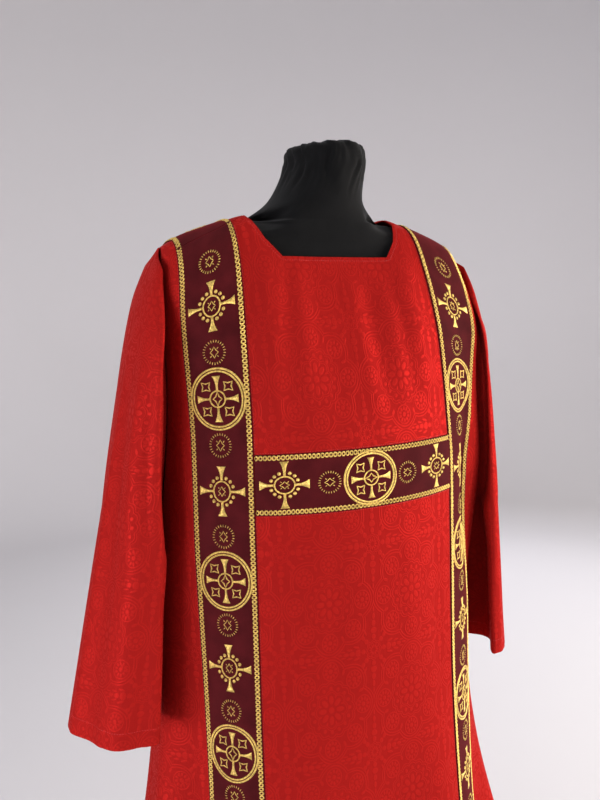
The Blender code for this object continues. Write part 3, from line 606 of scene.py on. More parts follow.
@dataclass
class Panel:
    """The front or the back, in one piece from side seam to side seam.

    Attributes:
        face: which of the two.
        step: the longest step of the grid.
        edge_step: how near its border the grid's next line runs, which rounds the edge.
        seam: how far the front's edge stays back from the shoulder seam.
        rows: the grid's rows, as fractions of the coarse table's rows.
        columns: half the grid's columns, in Body.across's units, from the centre out.
    """

    face: Face
    step: float = 0.0065
    edge_step: float = 0.0007
    seam: float = 0.0004
    rows: np.ndarray = field(init=False)
    columns: np.ndarray = field(init=False)

    NECK_COLUMNS = (0.0, 0.052, 0.0745, 0.093, 0.1035, 0.107)  # where the neck's edge bends
    SIDE_WIDTH = 0.28  # cloth beside a clavus, where the rim's column is measured
    SPACING_DROP = 1.1  # where the columns' spacing is judged, near the hem
    LAST_STEP = 0.12  # from the coarse table's last row but one to the hem
    BACK_NECK_PLACES = (-0.008, -0.003, 0.0, 0.004, 0.010, 0.018)  # of the back's first rows
    BACK_FIRST_ROW = 0.2
    ON_SHOULDER = 0.97  # share of the neck's half-width, past which the front has a shoulder seam
    SEAM_TABLE_ROWS = 10  # of the coarse table, from the armhole's foot to the hem

    def __post_init__(self) -> None:
        """Chooses the grid's rows and columns."""
        self.rows, self.columns = self.fine_rows(), self.fine_columns()

    def fine_columns(self) -> np.ndarray:
        """Chooses half the columns, closer together beside the bands' and the panel's edges.

        Returns:
            The columns, from the centre line.
        """
        neck = [x / BODY[0].front_edge for x in self.NECK_COLUMNS]
        band, rim = self.edge_step / BAND_WIDTH, self.edge_step / self.SIDE_WIDTH
        kept = [*neck, 1.0, 1 + band, 2 - band, 2.0, 3 - rim, 3.0]
        low = BODY_SHAPE.across(np.full(len(kept), self.SPACING_DROP), self.face, np.array(kept))
        return refined(kept, list(low), self.step)

    def fine_rows(self) -> np.ndarray:
        """Chooses the rows, closer together at the neck and the hem.

        Returns:
            The rows, as fractional rows of the table.
        """
        if self.face is Face.FRONT:
            drops, first = FRONT_ROWS, [0.0, self.edge_step / FRONT_ROWS[1]]
        else:
            over = list(self.BACK_NECK_PLACES)
            drops, first = over + [over[-1] + d for d in FRONT_ROWS[2:]], [0.0, self.BACK_FIRST_ROW]
        last = len(drops) - 1
        kept = [*first, *range(1, last), last - self.edge_step / self.LAST_STEP, last]
        return refined(kept, list(np.interp(kept, np.arange(last + 1), drops)), self.step)

    def drops(self) -> np.ndarray:
        """Works out the drop of each row and column.

        Returns:
            The drops. Below nought the cloth lies forward of the shoulder line.
        """
        table = TOP_EDGE[self.face]
        start = BODY_SHAPE.across(np.zeros(len(self.columns)), self.face, self.columns)
        top = np.interp(start, [e.across for e in table], [e.drop for e in table])[None, :]
        if self.face is Face.FRONT:
            top = top + self.seam * (start > NECK_END * self.ON_SHOULDER)
            row = np.interp(self.rows, np.arange(len(FRONT_ROWS)), FRONT_ROWS)[:, None]
            over = np.zeros_like(row * top, dtype=bool)
        else:
            index = np.arange(len(BACK_ROWS))
            row, forward, drop = (
                np.interp(self.rows, index, [getattr(r, name) for r in BACK_ROWS])[:, None]
                for name in ("below_neck", "forward", "drop")
            )
            over = (top < 0) & (row < NECK_BLEND_DROP)
            shoulder = np.where(forward > 0, forward * top, drop)
        level = np.where(row >= NECK_BLEND_DROP, row, top + row * (1 - top / NECK_BLEND_DROP))
        return level if self.face is Face.FRONT else np.where(over, shoulder, level)

    def heights(self, folds: list[Fold], across: np.ndarray, drop: np.ndarray, end: np.ndarray) -> np.ndarray:
        """How far the folds push the cloth out.

        Args:
            folds: the folds or creases.
            across: distances from the centre line, + to the wearer's left.
            drop: how far below the shoulder.
            end: distances of the panel's edge.

        Returns:
            The heights.
        """
        total = np.zeros_like(across)
        for fold in folds:
            middle = fold.across + math.copysign(fold.lean, fold.across) * (drop - fold.start)
            share = ease(fold.start, fold.full, drop) * (1 - ease(fold.fade, fold.end, drop))
            total += fold.height * share * np.exp(-(((across - middle) / fold.spread) ** 2))
        fade = EDGE_FADE + HEM_EDGE_FADE * ease(*HEM_EDGE_DROPS, drop)
        to_edge = np.clip((end - np.abs(across)) / fade, 0, 1)
        return total * to_edge**2 * (3 - 2 * to_edge)

    def cloth(self) -> Cloth:
        """Bends the panel, with its folds and creases.

        Returns:
            Its outer face.
        """
        signed = np.concatenate([-self.columns[:0:-1], self.columns])
        half = self.drops()
        drop = np.concatenate([half[:, :0:-1], half], axis=1)
        column = np.broadcast_to(np.abs(signed), drop.shape)
        side = np.where(signed < 0, -1.0, 1.0)
        level = np.abs(drop)
        over = (drop < 0) & (self.face is Face.BACK)
        points = np.zeros((*drop.shape, 3))
        across = np.zeros_like(drop)
        end = np.zeros_like(drop)
        for face in Face:
            here = over == (face is not self.face)
            distance = BODY_SHAPE.across(level, face, column)
            place = BODY_SHAPE.place(level, face, distance) * (1, face.way, 1)
            points = np.where(here[..., None], place, points)
            across = np.where(here, distance, across)
            end = np.where(here, BODY_SHAPE.end(level, face), end)
        points[..., 0] *= side
        across = across * side
        turned = self.face is Face.BACK
        sewn = Cloth(points, np.stack([across * -self.face.way, -drop], axis=2), turned)
        low = self.heights(FOLDS[self.face], across, level, end)
        fine = self.heights(CREASES[self.face], across, level, end)
        return sewn.raised(low + fine)

    def centre(self) -> int:
        """Index of the grid's middle column."""
        return len(self.columns) - 1

    def column(self, value: float) -> int:
        """Index of a kept column among the half's columns."""
        return int(np.argmin(np.abs(self.columns - value)))

    def row(self, drop: float) -> int:
        """Index of the row at one of the table's drops."""
        return int(np.argmin(np.abs(self.rows - FRONT_ROWS.index(drop))))

    def rows_below_armhole(self) -> int:
        """How many rows lie from the armhole's foot to the hem."""
        return int((self.rows > self.rows[-1] - self.SEAM_TABLE_ROWS).sum())


def part_of(cloth: Cloth, rows: np.ndarray, columns: np.ndarray) -> Cloth:
    """Cuts a grid out of a cloth.

    Args:
        cloth: the whole piece.
        rows: fractional row indexes to keep.
        columns: fractional column indexes to keep.

    Returns:
        A cloth with the same cut coordinates.
    """

    def pick(table: np.ndarray) -> np.ndarray:
        """Reads a grid between its own rows and columns.

        Args:
            table: the grid.

        Returns:
            Its values at the rows and columns to keep.
        """
        i = np.clip(rows.astype(int), 0, table.shape[0] - 2)
        j = np.clip(columns.astype(int), 0, table.shape[1] - 2)
        s, t = (rows - i)[:, None, None], (columns - j)[None, :, None]
        near = table[np.ix_(i, j)] * (1 - t) + table[np.ix_(i, j + 1)] * t
        far = table[np.ix_(i + 1, j)] * (1 - t) + table[np.ix_(i + 1, j + 1)] * t
        return near * (1 - s) + far * s

    return Cloth(pick(cloth.points), pick(cloth.cut), cloth.turned)


def own_cut(cloth: Cloth, width: float | None = None) -> Cloth:
    """Gives a band its own cut: across from its left edge as seen from outside, and down from its top.

    Args:
        cloth: the band's face.
        width: its width where it is even.

    Returns:
        The same face with the new cut.
    """
    points = cloth.points[:, ::-1] if cloth.turned else cloth.points
    across = np.array([run_along(row) for row in points])
    if width is not None:
        across *= width / across[:, -1:]
    down = np.array([run_along(column) for column in points.transpose(1, 0, 2)]).mean(axis=0)
    cut = np.stack([across, np.broadcast_to(-down[:, None], across.shape)], axis=2)
    return Cloth(cloth.points, cut[:, ::-1] if cloth.turned else cut, cloth.turned)


@dataclass
class Sleeve:
    """One sleeve, cut in one and set into the armhole.

    Attributes:
        side: the wearer's left or right.
        step: the longest step of the grid.
        edge_step: how near its border the grid's next line runs.
    """

    side: Side
    step: float = 0.0065
    edge_step: float = 0.0007

    SAMPLES = 120  # points of half a ring before it is spaced evenly
    HALF_GIRTH = 0.29
    LAST_STEP = 0.07  # from the coarse table's last row but one to the cuff
    CAP_STEPS = (0.0, 0.012, *np.linspace(0, 1, 11)[1:-1])  # rows from the seam to the first ring
    CAP_SWELL = 0.25
    CAP_HOLD = 8  # the power that keeps the cap's ends on the seam

    HEAD_START = 0.05  # drop where the head's cloth starts to lie back
    HEAD_FULL = 0.06
    BACK_HEAD = 0.75  # share of the way back to the seam, at the head
    BACK_LOW = 0.15  # the same below it
    HEAD_END_DROPS = (0.07, 0.17)
    LOW_END_DROPS = (0.30, 0.45)
    BACK_SHARES = (0.30, 0.75)
    OUTWARD = 0.008  # how far the hollow's edge is turned out
    HOLLOW_DROPS = (0.10, 0.20)
    HOLLOW_END_DROPS = (0.32, 0.50)
    HOLLOW_SHARES = (0.45, 0.75)
    HOLLOW_END_SHARES = (0.88, 1.0)

    def seam(self, drop: np.ndarray, face: Face) -> np.ndarray:
        """Points of the armhole seam on the wearer's left.

        Args:
            drop: how far below the shoulder.
            face: front or back.

        Returns:
            The points.
        """
        point = BODY_SHAPE.place(drop, face, BODY_SHAPE.end(drop, face)) * (1, face.way, 1)
        head, underarm = ease(*HEAD_ROOM_DROPS, drop), ease(*UNDERARM_ROOM_DROPS, drop)
        room = HEAD_ROOM * (1 - head) + UNDERARM_ROOM * underarm
        point[..., 0] += SEAM_GAP + room
        return point

    def half_ring(self, outer_drop: float, seam_drop: float, face: Face, shares: np.ndarray) -> np.ndarray:
        """Half a ring, from the outer line round one face to the seam.

        Args:
            outer_drop: the ring's drop at the outer line.
            seam_drop: its drop at the seam.
            face: the way round.
            shares: where its points lie, from 0 to 1.

        Returns:
            The points.
        """
        seam = self.seam(np.array([seam_drop]), face)[0]
        seam[0] += SLEEVE_CLEARANCE * ease(UNDERARM_DROP, UNDERARM_DROP + SLEEVE_CLEARANCE_DROP, seam_drop)
        share = np.linspace(0, 1, self.SAMPLES)
        drop = outer_drop - share**2 * (seam[2] + outer_drop)
        outer, middle, depth, wrap = (smooth(SLEEVE, n, drop) for n in ("outer", "middle", "depth", "wrap"))
        swung = SLEEVE_SWING[self.side] * np.clip(drop - SLEEVE_SWING_START, 0, None)
        outer, middle = outer + swung, middle + swung / 2
        reach = np.minimum(abs(seam[1]) / depth, 1.0) * (seam_drop < UNDERARM_DROP)
        last = math.pi - np.arcsin(reach)
        turn = share * last
        inward = (middle - wrap * reach**2 - seam[0]) / np.cos(math.pi - last)
        span = np.where(turn < math.pi / 2, outer - middle, inward)
        x = middle + span * np.cos(turn) - wrap * np.sin(turn) ** 2
        y = depth * np.sin(turn) * face.way
        samples = np.stack([x, y, -drop], axis=1)
        samples[-1] = seam
        return spaced(samples, shares)

    def head(self, face: Face, shares: np.ndarray) -> np.ndarray:
        """Half of the seam line over the shoulder's tip, where the grid starts.

        Args:
            face: the way round.
            shares: where its points lie, from 0 to 1.

        Returns:
            The points.
        """
        drops = np.array(SLEEVE_TOP_SEAM)
        line = self.seam(drops, face)
        other = Face.BACK if face is Face.FRONT else Face.FRONT
        line[0] = (line[0] + self.seam(drops, other)[0]) / 2
        return spaced(line, shares)

    @staticmethod
    def whole(halves: list[np.ndarray]) -> np.ndarray:
        """A line right round, from its front and back halves, which both start at the outer line."""
        return np.concatenate([halves[0][:0:-1], halves[1]])

    def cap(
        self, head: np.ndarray, body: np.ndarray, tangent: np.ndarray, shares: np.ndarray
    ) -> list[np.ndarray]:
        """Rows of cloth over the sleeve's head, from the seam line to the first ring.

        Args:
            head: the seam line.
            body: the first ring.
            tangent: the way the sleeve runs on from it.
            shares: the columns' shares.

        Returns:
            The rows.
        """
        rows = []
        pull = np.abs(shares[:, None]) ** self.CAP_HOLD
        for t in self.CAP_STEPS:
            row = head * (1 - t) ** 2 + body * (1 - (1 - t) ** 2)
            row = row - tangent * t * (1 - t) ** 2 * self.CAP_SWELL
            drop = np.array([SLEEVE_TOP_SEAM[-1] * (1 - t) + SLEEVE_ROWS[0].seam * t])
            front, back = (self.seam(drop, face)[0] for face in Face)
            rows.append(row + pull * np.where(shares[:, None] < 0, front - row[0], back - row[-1]))
        return rows

    def grid(self) -> tuple[np.ndarray, np.ndarray, np.ndarray, int]:
        """The smooth sleeve on the wearer's left.

        Returns:
            The points, the columns' shares, the rows' drops, and the first row under the armhole.
        """
        girth = self.HALF_GIRTH
        half = refined([0.0, 1 - self.edge_step / girth, 1.0], [0, girth, girth], self.step)
        shares = np.concatenate([-half[:0:-1], half])
        outer, seam = (np.array([getattr(row, name) for row in SLEEVE_ROWS]) for name in ("outer", "seam"))
        last = len(outer) - 1
        kept = [*range(last), last - self.edge_step / self.LAST_STEP, last]
        rows = refined(kept, list(np.interp(kept, np.arange(last + 1), outer)), self.step)
        rings = [np.interp(rows, np.arange(last + 1), line) for line in (outer, seam)]
        body = np.array([
            self.whole([self.half_ring(o, s, face, half) for face in Face]) for o, s in zip(*rings)
        ])
        head = self.whole([self.head(face, half) for face in Face])
        tangent = (body[1] - body[0]) / (rings[0][1] - rings[0][0]) * outer[0]
        cap = self.cap(head, body[0], tangent, shares)
        cap_drops = np.linspace(self.HEAD_START, outer[0], len(cap), endpoint=False)
        joined = len(cap) + int(np.argmax(rings[1] >= UNDERARM_DROP - 1e-9))
        return np.concatenate([cap, body]), shares, np.concatenate([cap_drops, rings[0]]), joined

    def settled(self, points: np.ndarray, shares: np.ndarray, drops: np.ndarray) -> np.ndarray:
        """Lays the sleeve's head back to the seam, and turns the edge of its hollow outward.

        Args:
            points: the smooth sleeve.
            shares: its columns' shares.
            drops: its rows' drops.

        Returns:
            The points as the cloth settles.
        """
        points = points.copy()
        drop, side = -points[..., 2], np.abs(shares)[None, :]
        seam = np.where(shares[None, :] < 0, points[:, :1, 1], points[:, -1:, 1])
        back = self.BACK_LOW * (1 - ease(*self.LOW_END_DROPS, drop))
        back += (self.BACK_HEAD - self.BACK_LOW) * (1 - ease(*self.HEAD_END_DROPS, drop))
        back *= ease(self.HEAD_START, self.HEAD_FULL, drops)[:, None]
        points[..., 1] += (seam - points[..., 1]) * back * ease(*self.BACK_SHARES, side)
        hollow = ease(*self.HOLLOW_DROPS, drop) * (1 - ease(*self.HOLLOW_END_DROPS, drop))
        edge = ease(*self.HOLLOW_SHARES, side) * (1 - ease(*self.HOLLOW_END_SHARES, side))
        points[..., 0] += self.OUTWARD * hollow * edge
        return points

    def cloth(self) -> tuple[Cloth, int]:
        """Bends the sleeve, with its folds and creases.

        Returns:
            Its outer face, and its first row under the armhole.
        """
        points, shares, drops, joined = self.grid()
        points = self.settled(points, shares, drops)
        heights = np.zeros(points.shape[:2])
        for fold in SLEEVE_FOLDS[self.side] + SLEEVE_CREASES[self.side]:
            shape = np.exp(-(((shares - fold.around) / fold.spread) ** 2))
            heights += fold.height * ease(fold.start, fold.full, drops)[:, None] * shape[None, :]
        heights *= ease(0, SLEEVE_EDGE_FADE, 1 - np.abs(shares))[None, :]
        middle = len(shares) // 2
        around = np.array([run_along(row) for row in points])
        around -= around[:, middle : middle + 1]
        down = np.broadcast_to(-run_along(points[:, middle])[:, None], around.shape)
        bent = Cloth(points, np.stack([around * self.side.way, down], axis=2)).raised(heights)
        turned = self.side is Side.RIGHT
        return Cloth(bent.points * (self.side.way, 1, 1), bent.cut, turned), joined


# ---- node helpers
# the kinds of node that are used most
MATH = "ShaderNodeMath"
VECTOR_MATH = "ShaderNodeVectorMath"
MAP_RANGE = "ShaderNodeMapRange"
NOISE = "ShaderNodeTexNoise"
MAPPING = "ShaderNodeMapping"
BUMP = "ShaderNodeBump"
COMBINE = "ShaderNodeCombineXYZ"
SEPARATE = "ShaderNodeSeparateXYZ"


def feed(node: Node, inputs: dict) -> None:
    """Sets a node's inputs.

    Args:
        node: the node.
        inputs: by the input's name or index, a value, a socket, or a node whose first output is meant.
    """
    for key, value in inputs.items():
        given = value.outputs[0] if isinstance(value, Node) else value
        if isinstance(given, NodeSocket):
            node.id_data.links.new(given, node.inputs[key])
        else:
            node.inputs[key].default_value = given


def add_node(
    tree: NodeTree, kind: str, inputs: dict | None = None, **settings: object
) -> Node:
    """Adds one node.

    Args:
        tree: the node tree.
        kind: what the node is.
        inputs: its inputs, as feed takes them.
        settings: the node's own properties.

    Returns:
        The node.
    """
    node = tree.nodes.new(kind)
    for name, value in settings.items():
        setattr(node, name, value)
    feed(node, inputs or {})
    return node


def linear(hex_colour: str) -> tuple[float, float, float, float]:
    """An sRGB hex colour as linear RGBA."""
    parts = [int(hex_colour[i : i + 2], 16) / 255 for i in (1, 3, 5)]
    return (*((c / 12.92 if c <= 0.04045 else ((c + 0.055) / 1.055) ** 2.4) for c in parts), 1.0)


def new_material(name: str) -> tuple[Material, NodeTree, Node]:
    """Makes a Principled material.

    Args:
        name: its name.

    Returns:
        The material, its tree and its shader.
    """
    material = bpy.data.materials.new(name)
    material.use_nodes = True
    return material, material.node_tree, material.node_tree.nodes["Principled BSDF"]


# ---- ornaments
@dataclass
class Stroke:
    """One raised line of gold embroidery on the flat cloth.

    Attributes:
        path: points along and across the ornament, in mm.
        widths: the line's width at each point, in mm.
        height: how far its middle stands up, in mm.
        closed: True for a ring or an outline.
        fine: True for five lines of points across it, False for three.
    """

    path: list[Pair]
    widths: list[float]
    height: float = 0.8
    closed: bool = False
    fine: bool = True

    # across and up, as shares of the width and the height
    FINE_PROFILE = ((-0.5, 0.0), (-0.32, 0.8), (0.0, 1.0), (0.32, 0.8), (0.5, 0.0))
    PLAIN_PROFILE = ((-0.5, 0.0), (0.0, 1.0), (0.5, 0.0))
    END_RISE = 0.45  # share of its height that an open line has at its ends

    def add_to(self, bm: bmesh.types.BMesh) -> None:
        """Adds the line to a mesh, with its thread map.

        Args:
            bm: the mesh.
        """
        thread = bm.loops.layers.uv.get(THREAD_MAP) or bm.loops.layers.uv.new(THREAD_MAP)
        profile = self.FINE_PROFILE if self.fine else self.PLAIN_PROFILE
        path = np.array(self.path, float)
        before, after = (path[-1:], path[:1]) if self.closed else (path[:1], path[-1:])
        way = np.concatenate([path[1:], after]) - np.concatenate([before, path[:-1]])
        way /= np.linalg.norm(way, axis=1, keepdims=True)
        normal = np.stack([-way[:, 1], way[:, 0]], axis=1)
        run = run_along(np.concatenate([path, path[:1]]))
        count = len(path)
        lines = []
        for k in range(count):
            rise = self.height * (1 if self.closed or 0 < k < count - 1 else self.END_RISE)
            spot = [path[k] + normal[k] * self.widths[k] * offset for offset, _ in profile]
            lines.append([
                bm.verts.new((x * MM, y * MM, rise * up * MM)) for (x, y), (_, up) in zip(spot, profile)
            ])
        for k in range(count if self.closed else count - 1):
            here, there = lines[k], lines[(k + 1) % count]
            for j in range(len(profile) - 1):
                face = bm.faces.new((here[j], there[j], there[j + 1], here[j + 1]))
                face.smooth = True
                cut = [(run[k], j), (run[k + 1], j), (run[k + 1], j + 1), (run[k], j + 1)]
                for loop, (length, column) in zip(face.loops, cut):
                    loop[thread].uv = (length * MM, profile[column][0] * self.widths[k] * MM)
        if not self.closed:
            for end in (list(reversed(lines[0])), lines[-1]):
                bm.faces.new(list(reversed(end))).smooth = True


def on_oval(turn: float, along: float, across: float) -> Pair:
    """The point of an oval at a turn in degrees from the band's direction."""
    return along * math.cos(math.radians(turn)), across * math.sin(math.radians(turn))


def oval(along: float, across: float, width: float, points: int = 40) -> Stroke:
    """A stitched oval ring: half its length along and across the band, and its line's width, in mm."""
    path = [on_oval(360 * k / points, along, across) for k in range(points)]
    return Stroke(path, [width] * points, closed=True)


def ray(turn: float, start: Pair, end: Pair, widths: Sequence[float]) -> Stroke:
    """A straight line of stitches outward from the ornament's middle.

    Args:
        turn: its direction in degrees from the band's direction.
        start: half-lengths of the oval it starts on, along and across, in mm.
        end: half-lengths of the oval it ends on.
        widths: its width at even steps, in mm.

    Returns:
        The stroke.
    """
    low, high = np.array(on_oval(turn, *start)), np.array(on_oval(turn, *end))
    shares = np.linspace(0, 1, len(widths))
    return Stroke([tuple(low + (high - low) * s) for s in shares], list(widths))


def bead(turn: float, on: Pair, radius: float) -> Stroke:
    """A round padded dot on an oval.

    Args:
        turn: its direction in degrees from the band's direction.
        on: half-lengths of the oval, along and across, in mm.
        radius: its radius, in mm.

    Returns:
        The stroke.
    """
    middle = np.array(on_oval(turn, *on))
    shares = np.array([-1, -0.72, 0, 0.72, 1])
    path = [tuple(middle + (radius * s, 0)) for s in shares]
    return Stroke(path, [max(2 * radius * math.sqrt(1 - s * s), 0.7) for s in shares], height=1.0)


def star(along: float, across: float, waist: float, width: float, turn: float = 0.0) -> Stroke:
    """The outline of a four-pointed star with hollow sides.

    Args:
        along: its reach along the band, in mm.
        across: its reach across the band.
        waist: reach of its hollow sides, as a share.
        width: the line's width, in mm.
        turn: how far it is turned, in degrees.

    Returns:
        The stroke.
    """
    path = []
    for k in range(8):
        angle = math.radians(45 * k)
        reach = 1.0 if k % 2 == 0 else waist
        x, y = along * reach * math.cos(angle), across * reach * math.sin(angle)
        spin = math.radians(turn)
        path.append((x * math.cos(spin) - y * math.sin(spin), x * math.sin(spin) + y * math.cos(spin)))
    return Stroke(path, [width] * 8, closed=True, height=0.6)


QUARTERS = (0, 90, 180, 270)
DIAGONALS = (45, 135, 225, 315)
FLARE = (3.4, 3.0, 3.6, 5.2, 8.0, 12.0)  # widths of a cross arm from its foot to its tip, in mm


def star_with_rays(size: float) -> list[Stroke]:
    """The small star with four rays that stands in the middle of an ornament."""
    rays = [ray(d, (5.4 * size, 4.8 * size), (8.2 * size, 7.2 * size), (0.8, 1.3, 0.8)) for d in DIAGONALS]
    return [star(6.8 * size, 4.9 * size, 0.60, 1.15), *rays]


def circlet() -> list[Stroke]:
    """A ring of short rays round the small star."""
    dashes = [ray(360 * k / 26, (12.0, 11.2), (15.2, 14.2), (0.7, 1.15, 0.8)) for k in range(26)]
    return [*dashes, *star_with_rays(1.0)]


def beaded_cross() -> list[Stroke]:
    """A cross with flared arms round an oval ring set with twelve beads.

    Returns:
        The strokes.
    """
    beads = [bead(d + k, (17.6, 15.2), 2.3) for d in QUARTERS for k in (22, 45, 68)]
    arms = [ray(d, (13.0, 11.2), (30.8, 28.8), FLARE) for d in QUARTERS]
    return [oval(12.6, 10.4, 2.0, 32), *beads, *arms, *star_with_rays(0.9)]


def medallion() -> list[Stroke]:
    """A flared cross with four kites between its arms, in a double ring.

    Returns:
        The strokes.
    """
    arms = [ray(d, (10.6, 9.8), (28.0, 25.4), [w * 0.88 for w in FLARE]) for d in QUARTERS]
    kites = []
    for d in DIAGONALS:
        middle = np.array(on_oval(d, 21.5, 19.5))
        outline = star(7.4, 7.4, 0.50, 1.9, turn=d)
        outline.path = [tuple(np.array(p) + middle) for p in outline.path]
        kites.append(outline)
    rings = [oval(37.2, 33.6, 2.6, 52), oval(33.8, 30.3, 2.4, 48), oval(9.9, 9.3, 1.9, 28)]
    return [*rings, *arms, *kites, star(8.6, 5.6, 0.50, 1.7)]


def chain_link() -> list[Stroke]:
    """One loop of the edging."""
    loop = [on_oval(36 * k, 2.0, 2.4) for k in range(10)]
    return [Stroke(loop, [1.9] * 10, height=1.1, closed=True, fine=False)]


def stitch() -> list[Stroke]:
    """One sewing stitch that dips in at both ends."""
    return [Stroke([(-1.15, 0), (-0.6, 0), (0.6, 0), (1.15, 0)], [0.25, 0.5, 0.5, 0.25], 0.3, fine=False)]


def shape_set(name: str, shapes: Sequence[list[Stroke]]) -> Collection:
    """Makes a collection of flat shapes that the scene doesn't show.

    Args:
        name: its name.
        shapes: each shape's strokes, in the order in which the shapes repeat.

    Returns:
        The collection.
    """
    group = bpy.data.collections.new(name)
    for k, strokes in enumerate(shapes):
        bm = bmesh.new()
        for stroke in strokes:
            stroke.add_to(bm)
        mesh = bpy.data.meshes.new(f"{name}_{k}")
        bm.to_mesh(mesh)
        bm.free()
        group.objects.link(bpy.data.objects.new(mesh.name, mesh))
    return group


# ---- laying work on the cloth
class Laying:
    """A Geometry Nodes tree that repeats shapes along lines of a flat cut and lays them on the bent cloth."""

    INPUTS = (
        ("Lines", "NodeSocketGeometry"),
        ("Cloth", "NodeSocketObject"),
        ("Shapes", "NodeSocketCollection"),
        ("Spacing", "NodeSocketFloat"),
        ("First shape", "NodeSocketInt"),
        ("Lift", "NodeSocketFloat"),
        ("Thread", "NodeSocketMaterial"),
    )
    LIFT = -0.00005  # the work's foot is pressed a little into the cloth

    def __init__(self) -> None:
        """Builds the tree."""
        tree = bpy.data.node_groups.new("work_laid_on_cloth", "GeometryNodeTree")
        self.tree = tree
        for name, kind in self.INPUTS:
            tree.interface.new_socket(name, in_out="INPUT", socket_type=kind)
        tree.interface.new_socket("Work", in_out="OUTPUT", socket_type="NodeSocketGeometry")
        given = add_node(tree, "NodeGroupInput").outputs
        lines = add_node(tree, "GeometryNodeMeshToCurve", {"Mesh": given["Lines"]})
        spots = add_node(
            tree, "GeometryNodeCurveToPoints", {"Curve": lines, "Length": given["Spacing"]}, mode="LENGTH"
        ).outputs
        turned = add_node(
            tree, "FunctionNodeAlignRotationToVector", {"Vector": spots["Tangent"]}, axis="X", pivot_axis="Z"
        )
        shapes = add_node(tree, "GeometryNodeCollectionInfo", {
            "Collection": given["Shapes"], "Separate Children": True, "Reset Children": True,
        })
        index = add_node(tree, "GeometryNodeInputIndex")
        which = add_node(tree, MATH, {0: index, 1: given["First shape"]}, operation="ADD")
        placed = add_node(tree, "GeometryNodeInstanceOnPoints", {
            "Points": spots["Points"], "Instance": shapes, "Pick Instance": True, "Instance Index": which,
            "Rotation": turned,
        })
        flat = add_node(tree, "GeometryNodeRealizeInstances", {0: placed})
        place = add_node(tree, "GeometryNodeInputPosition")
        parts = add_node(tree, SEPARATE, {0: place}).outputs
        spot = add_node(tree, COMBINE, {0: parts[0], 1: parts[1]})
        cloth = add_node(tree, "GeometryNodeObjectInfo", {"Object": given["Cloth"]}).outputs["Geometry"]
        cut, facing = (
            add_node(tree, "GeometryNodeInputNamedAttribute", {"Name": name}, data_type="FLOAT_VECTOR")
            for name in (CUT_MAP, FACING)
        )
        found, normal = (
            add_node(
                tree, "GeometryNodeSampleUVSurface",
                {"Mesh": cloth, "Value": value, "UV Map": cut, "Sample UV": spot}, data_type="FLOAT_VECTOR",
            )
            for value in (place, facing)
        )
        up = add_node(tree, VECTOR_MATH, {0: normal}, operation="NORMALIZE")
        height = add_node(tree, MATH, {0: parts[2], 1: given["Lift"]}, operation="ADD")
        risen = add_node(tree, VECTOR_MATH, {0: up, "Scale": height}, operation="SCALE")
        there = add_node(tree, VECTOR_MATH, {0: found, 1: risen}, operation="ADD")
        off = add_node(tree, "FunctionNodeBooleanMath", {0: found.outputs["Is Valid"]}, operation="NOT")
        trimmed = add_node(tree, "GeometryNodeDeleteGeometry", {0: flat, 1: off})
        laid = add_node(tree, "GeometryNodeSetPosition", {"Geometry": trimmed, "Position": there})
        dressed = add_node(tree, "GeometryNodeSetMaterial", {"Geometry": laid, "Material": given["Thread"]})
        add_node(tree, "NodeGroupOutput", {"Work": dressed})

    def lay(
        self,
        name: str,
        cloth: Cloth,
        lines: Iterable[Sequence[Sequence[float]]],
        shapes: Collection,
        spacing: float,
        thread: Material,
        slot: Slot,
        first: int = 0,
    ) -> None:
        """Lays shapes along lines of a cloth's cut, as one piece.

        Args:
            name: the piece's name.
            cloth: what they lie on.
            lines: points in the cut's coordinates, in metres.
            shapes: the flat shapes, in the order in which they repeat.
            spacing: from one shape to the next, in metres.
            thread: their material.
            slot: the record's slot that they take the finish from.
            first: how many shapes of the order to skip.
        """
        under = show("cloth_under_" + name, cloth.mesh("cloth_under_" + name))
        spots, edges = [], []
        for line in lines:
            edges += [(len(spots) + k, len(spots) + k + 1) for k in range(len(line) - 1)]
            spots += [(u, v, 0.0) for u, v in line]
        mesh = bpy.data.meshes.new(name)
        mesh.from_pydata(spots, edges, [])
        host = show(name + "_lines", mesh)
        nodes = host.modifiers.new("laying", "NODES")
        nodes.node_group = self.tree
        sockets = {s.name: s.identifier for s in self.tree.interface.items_tree if s.in_out == "INPUT"}
        values = {
            "Cloth": under, "Shapes": shapes, "Spacing": spacing, "First shape": first, "Lift": self.LIFT,
            "Thread": thread,
        }
        for key, value in values.items():
            nodes[sockets[key]] = value
        made = plain_mesh(host)
        made.name = name
        for spare in (host, under):
            bpy.data.objects.remove(spare)
        dress(show(name, made), thread, slot)


# ---- finishes
class Centre(Enum):
    """The middles that the woven figure grows from; each of the frame's lobes has one."""

    MEDALLION = "medallion"
    ROSETTE = "rosette"
    LOBE = "lobe"


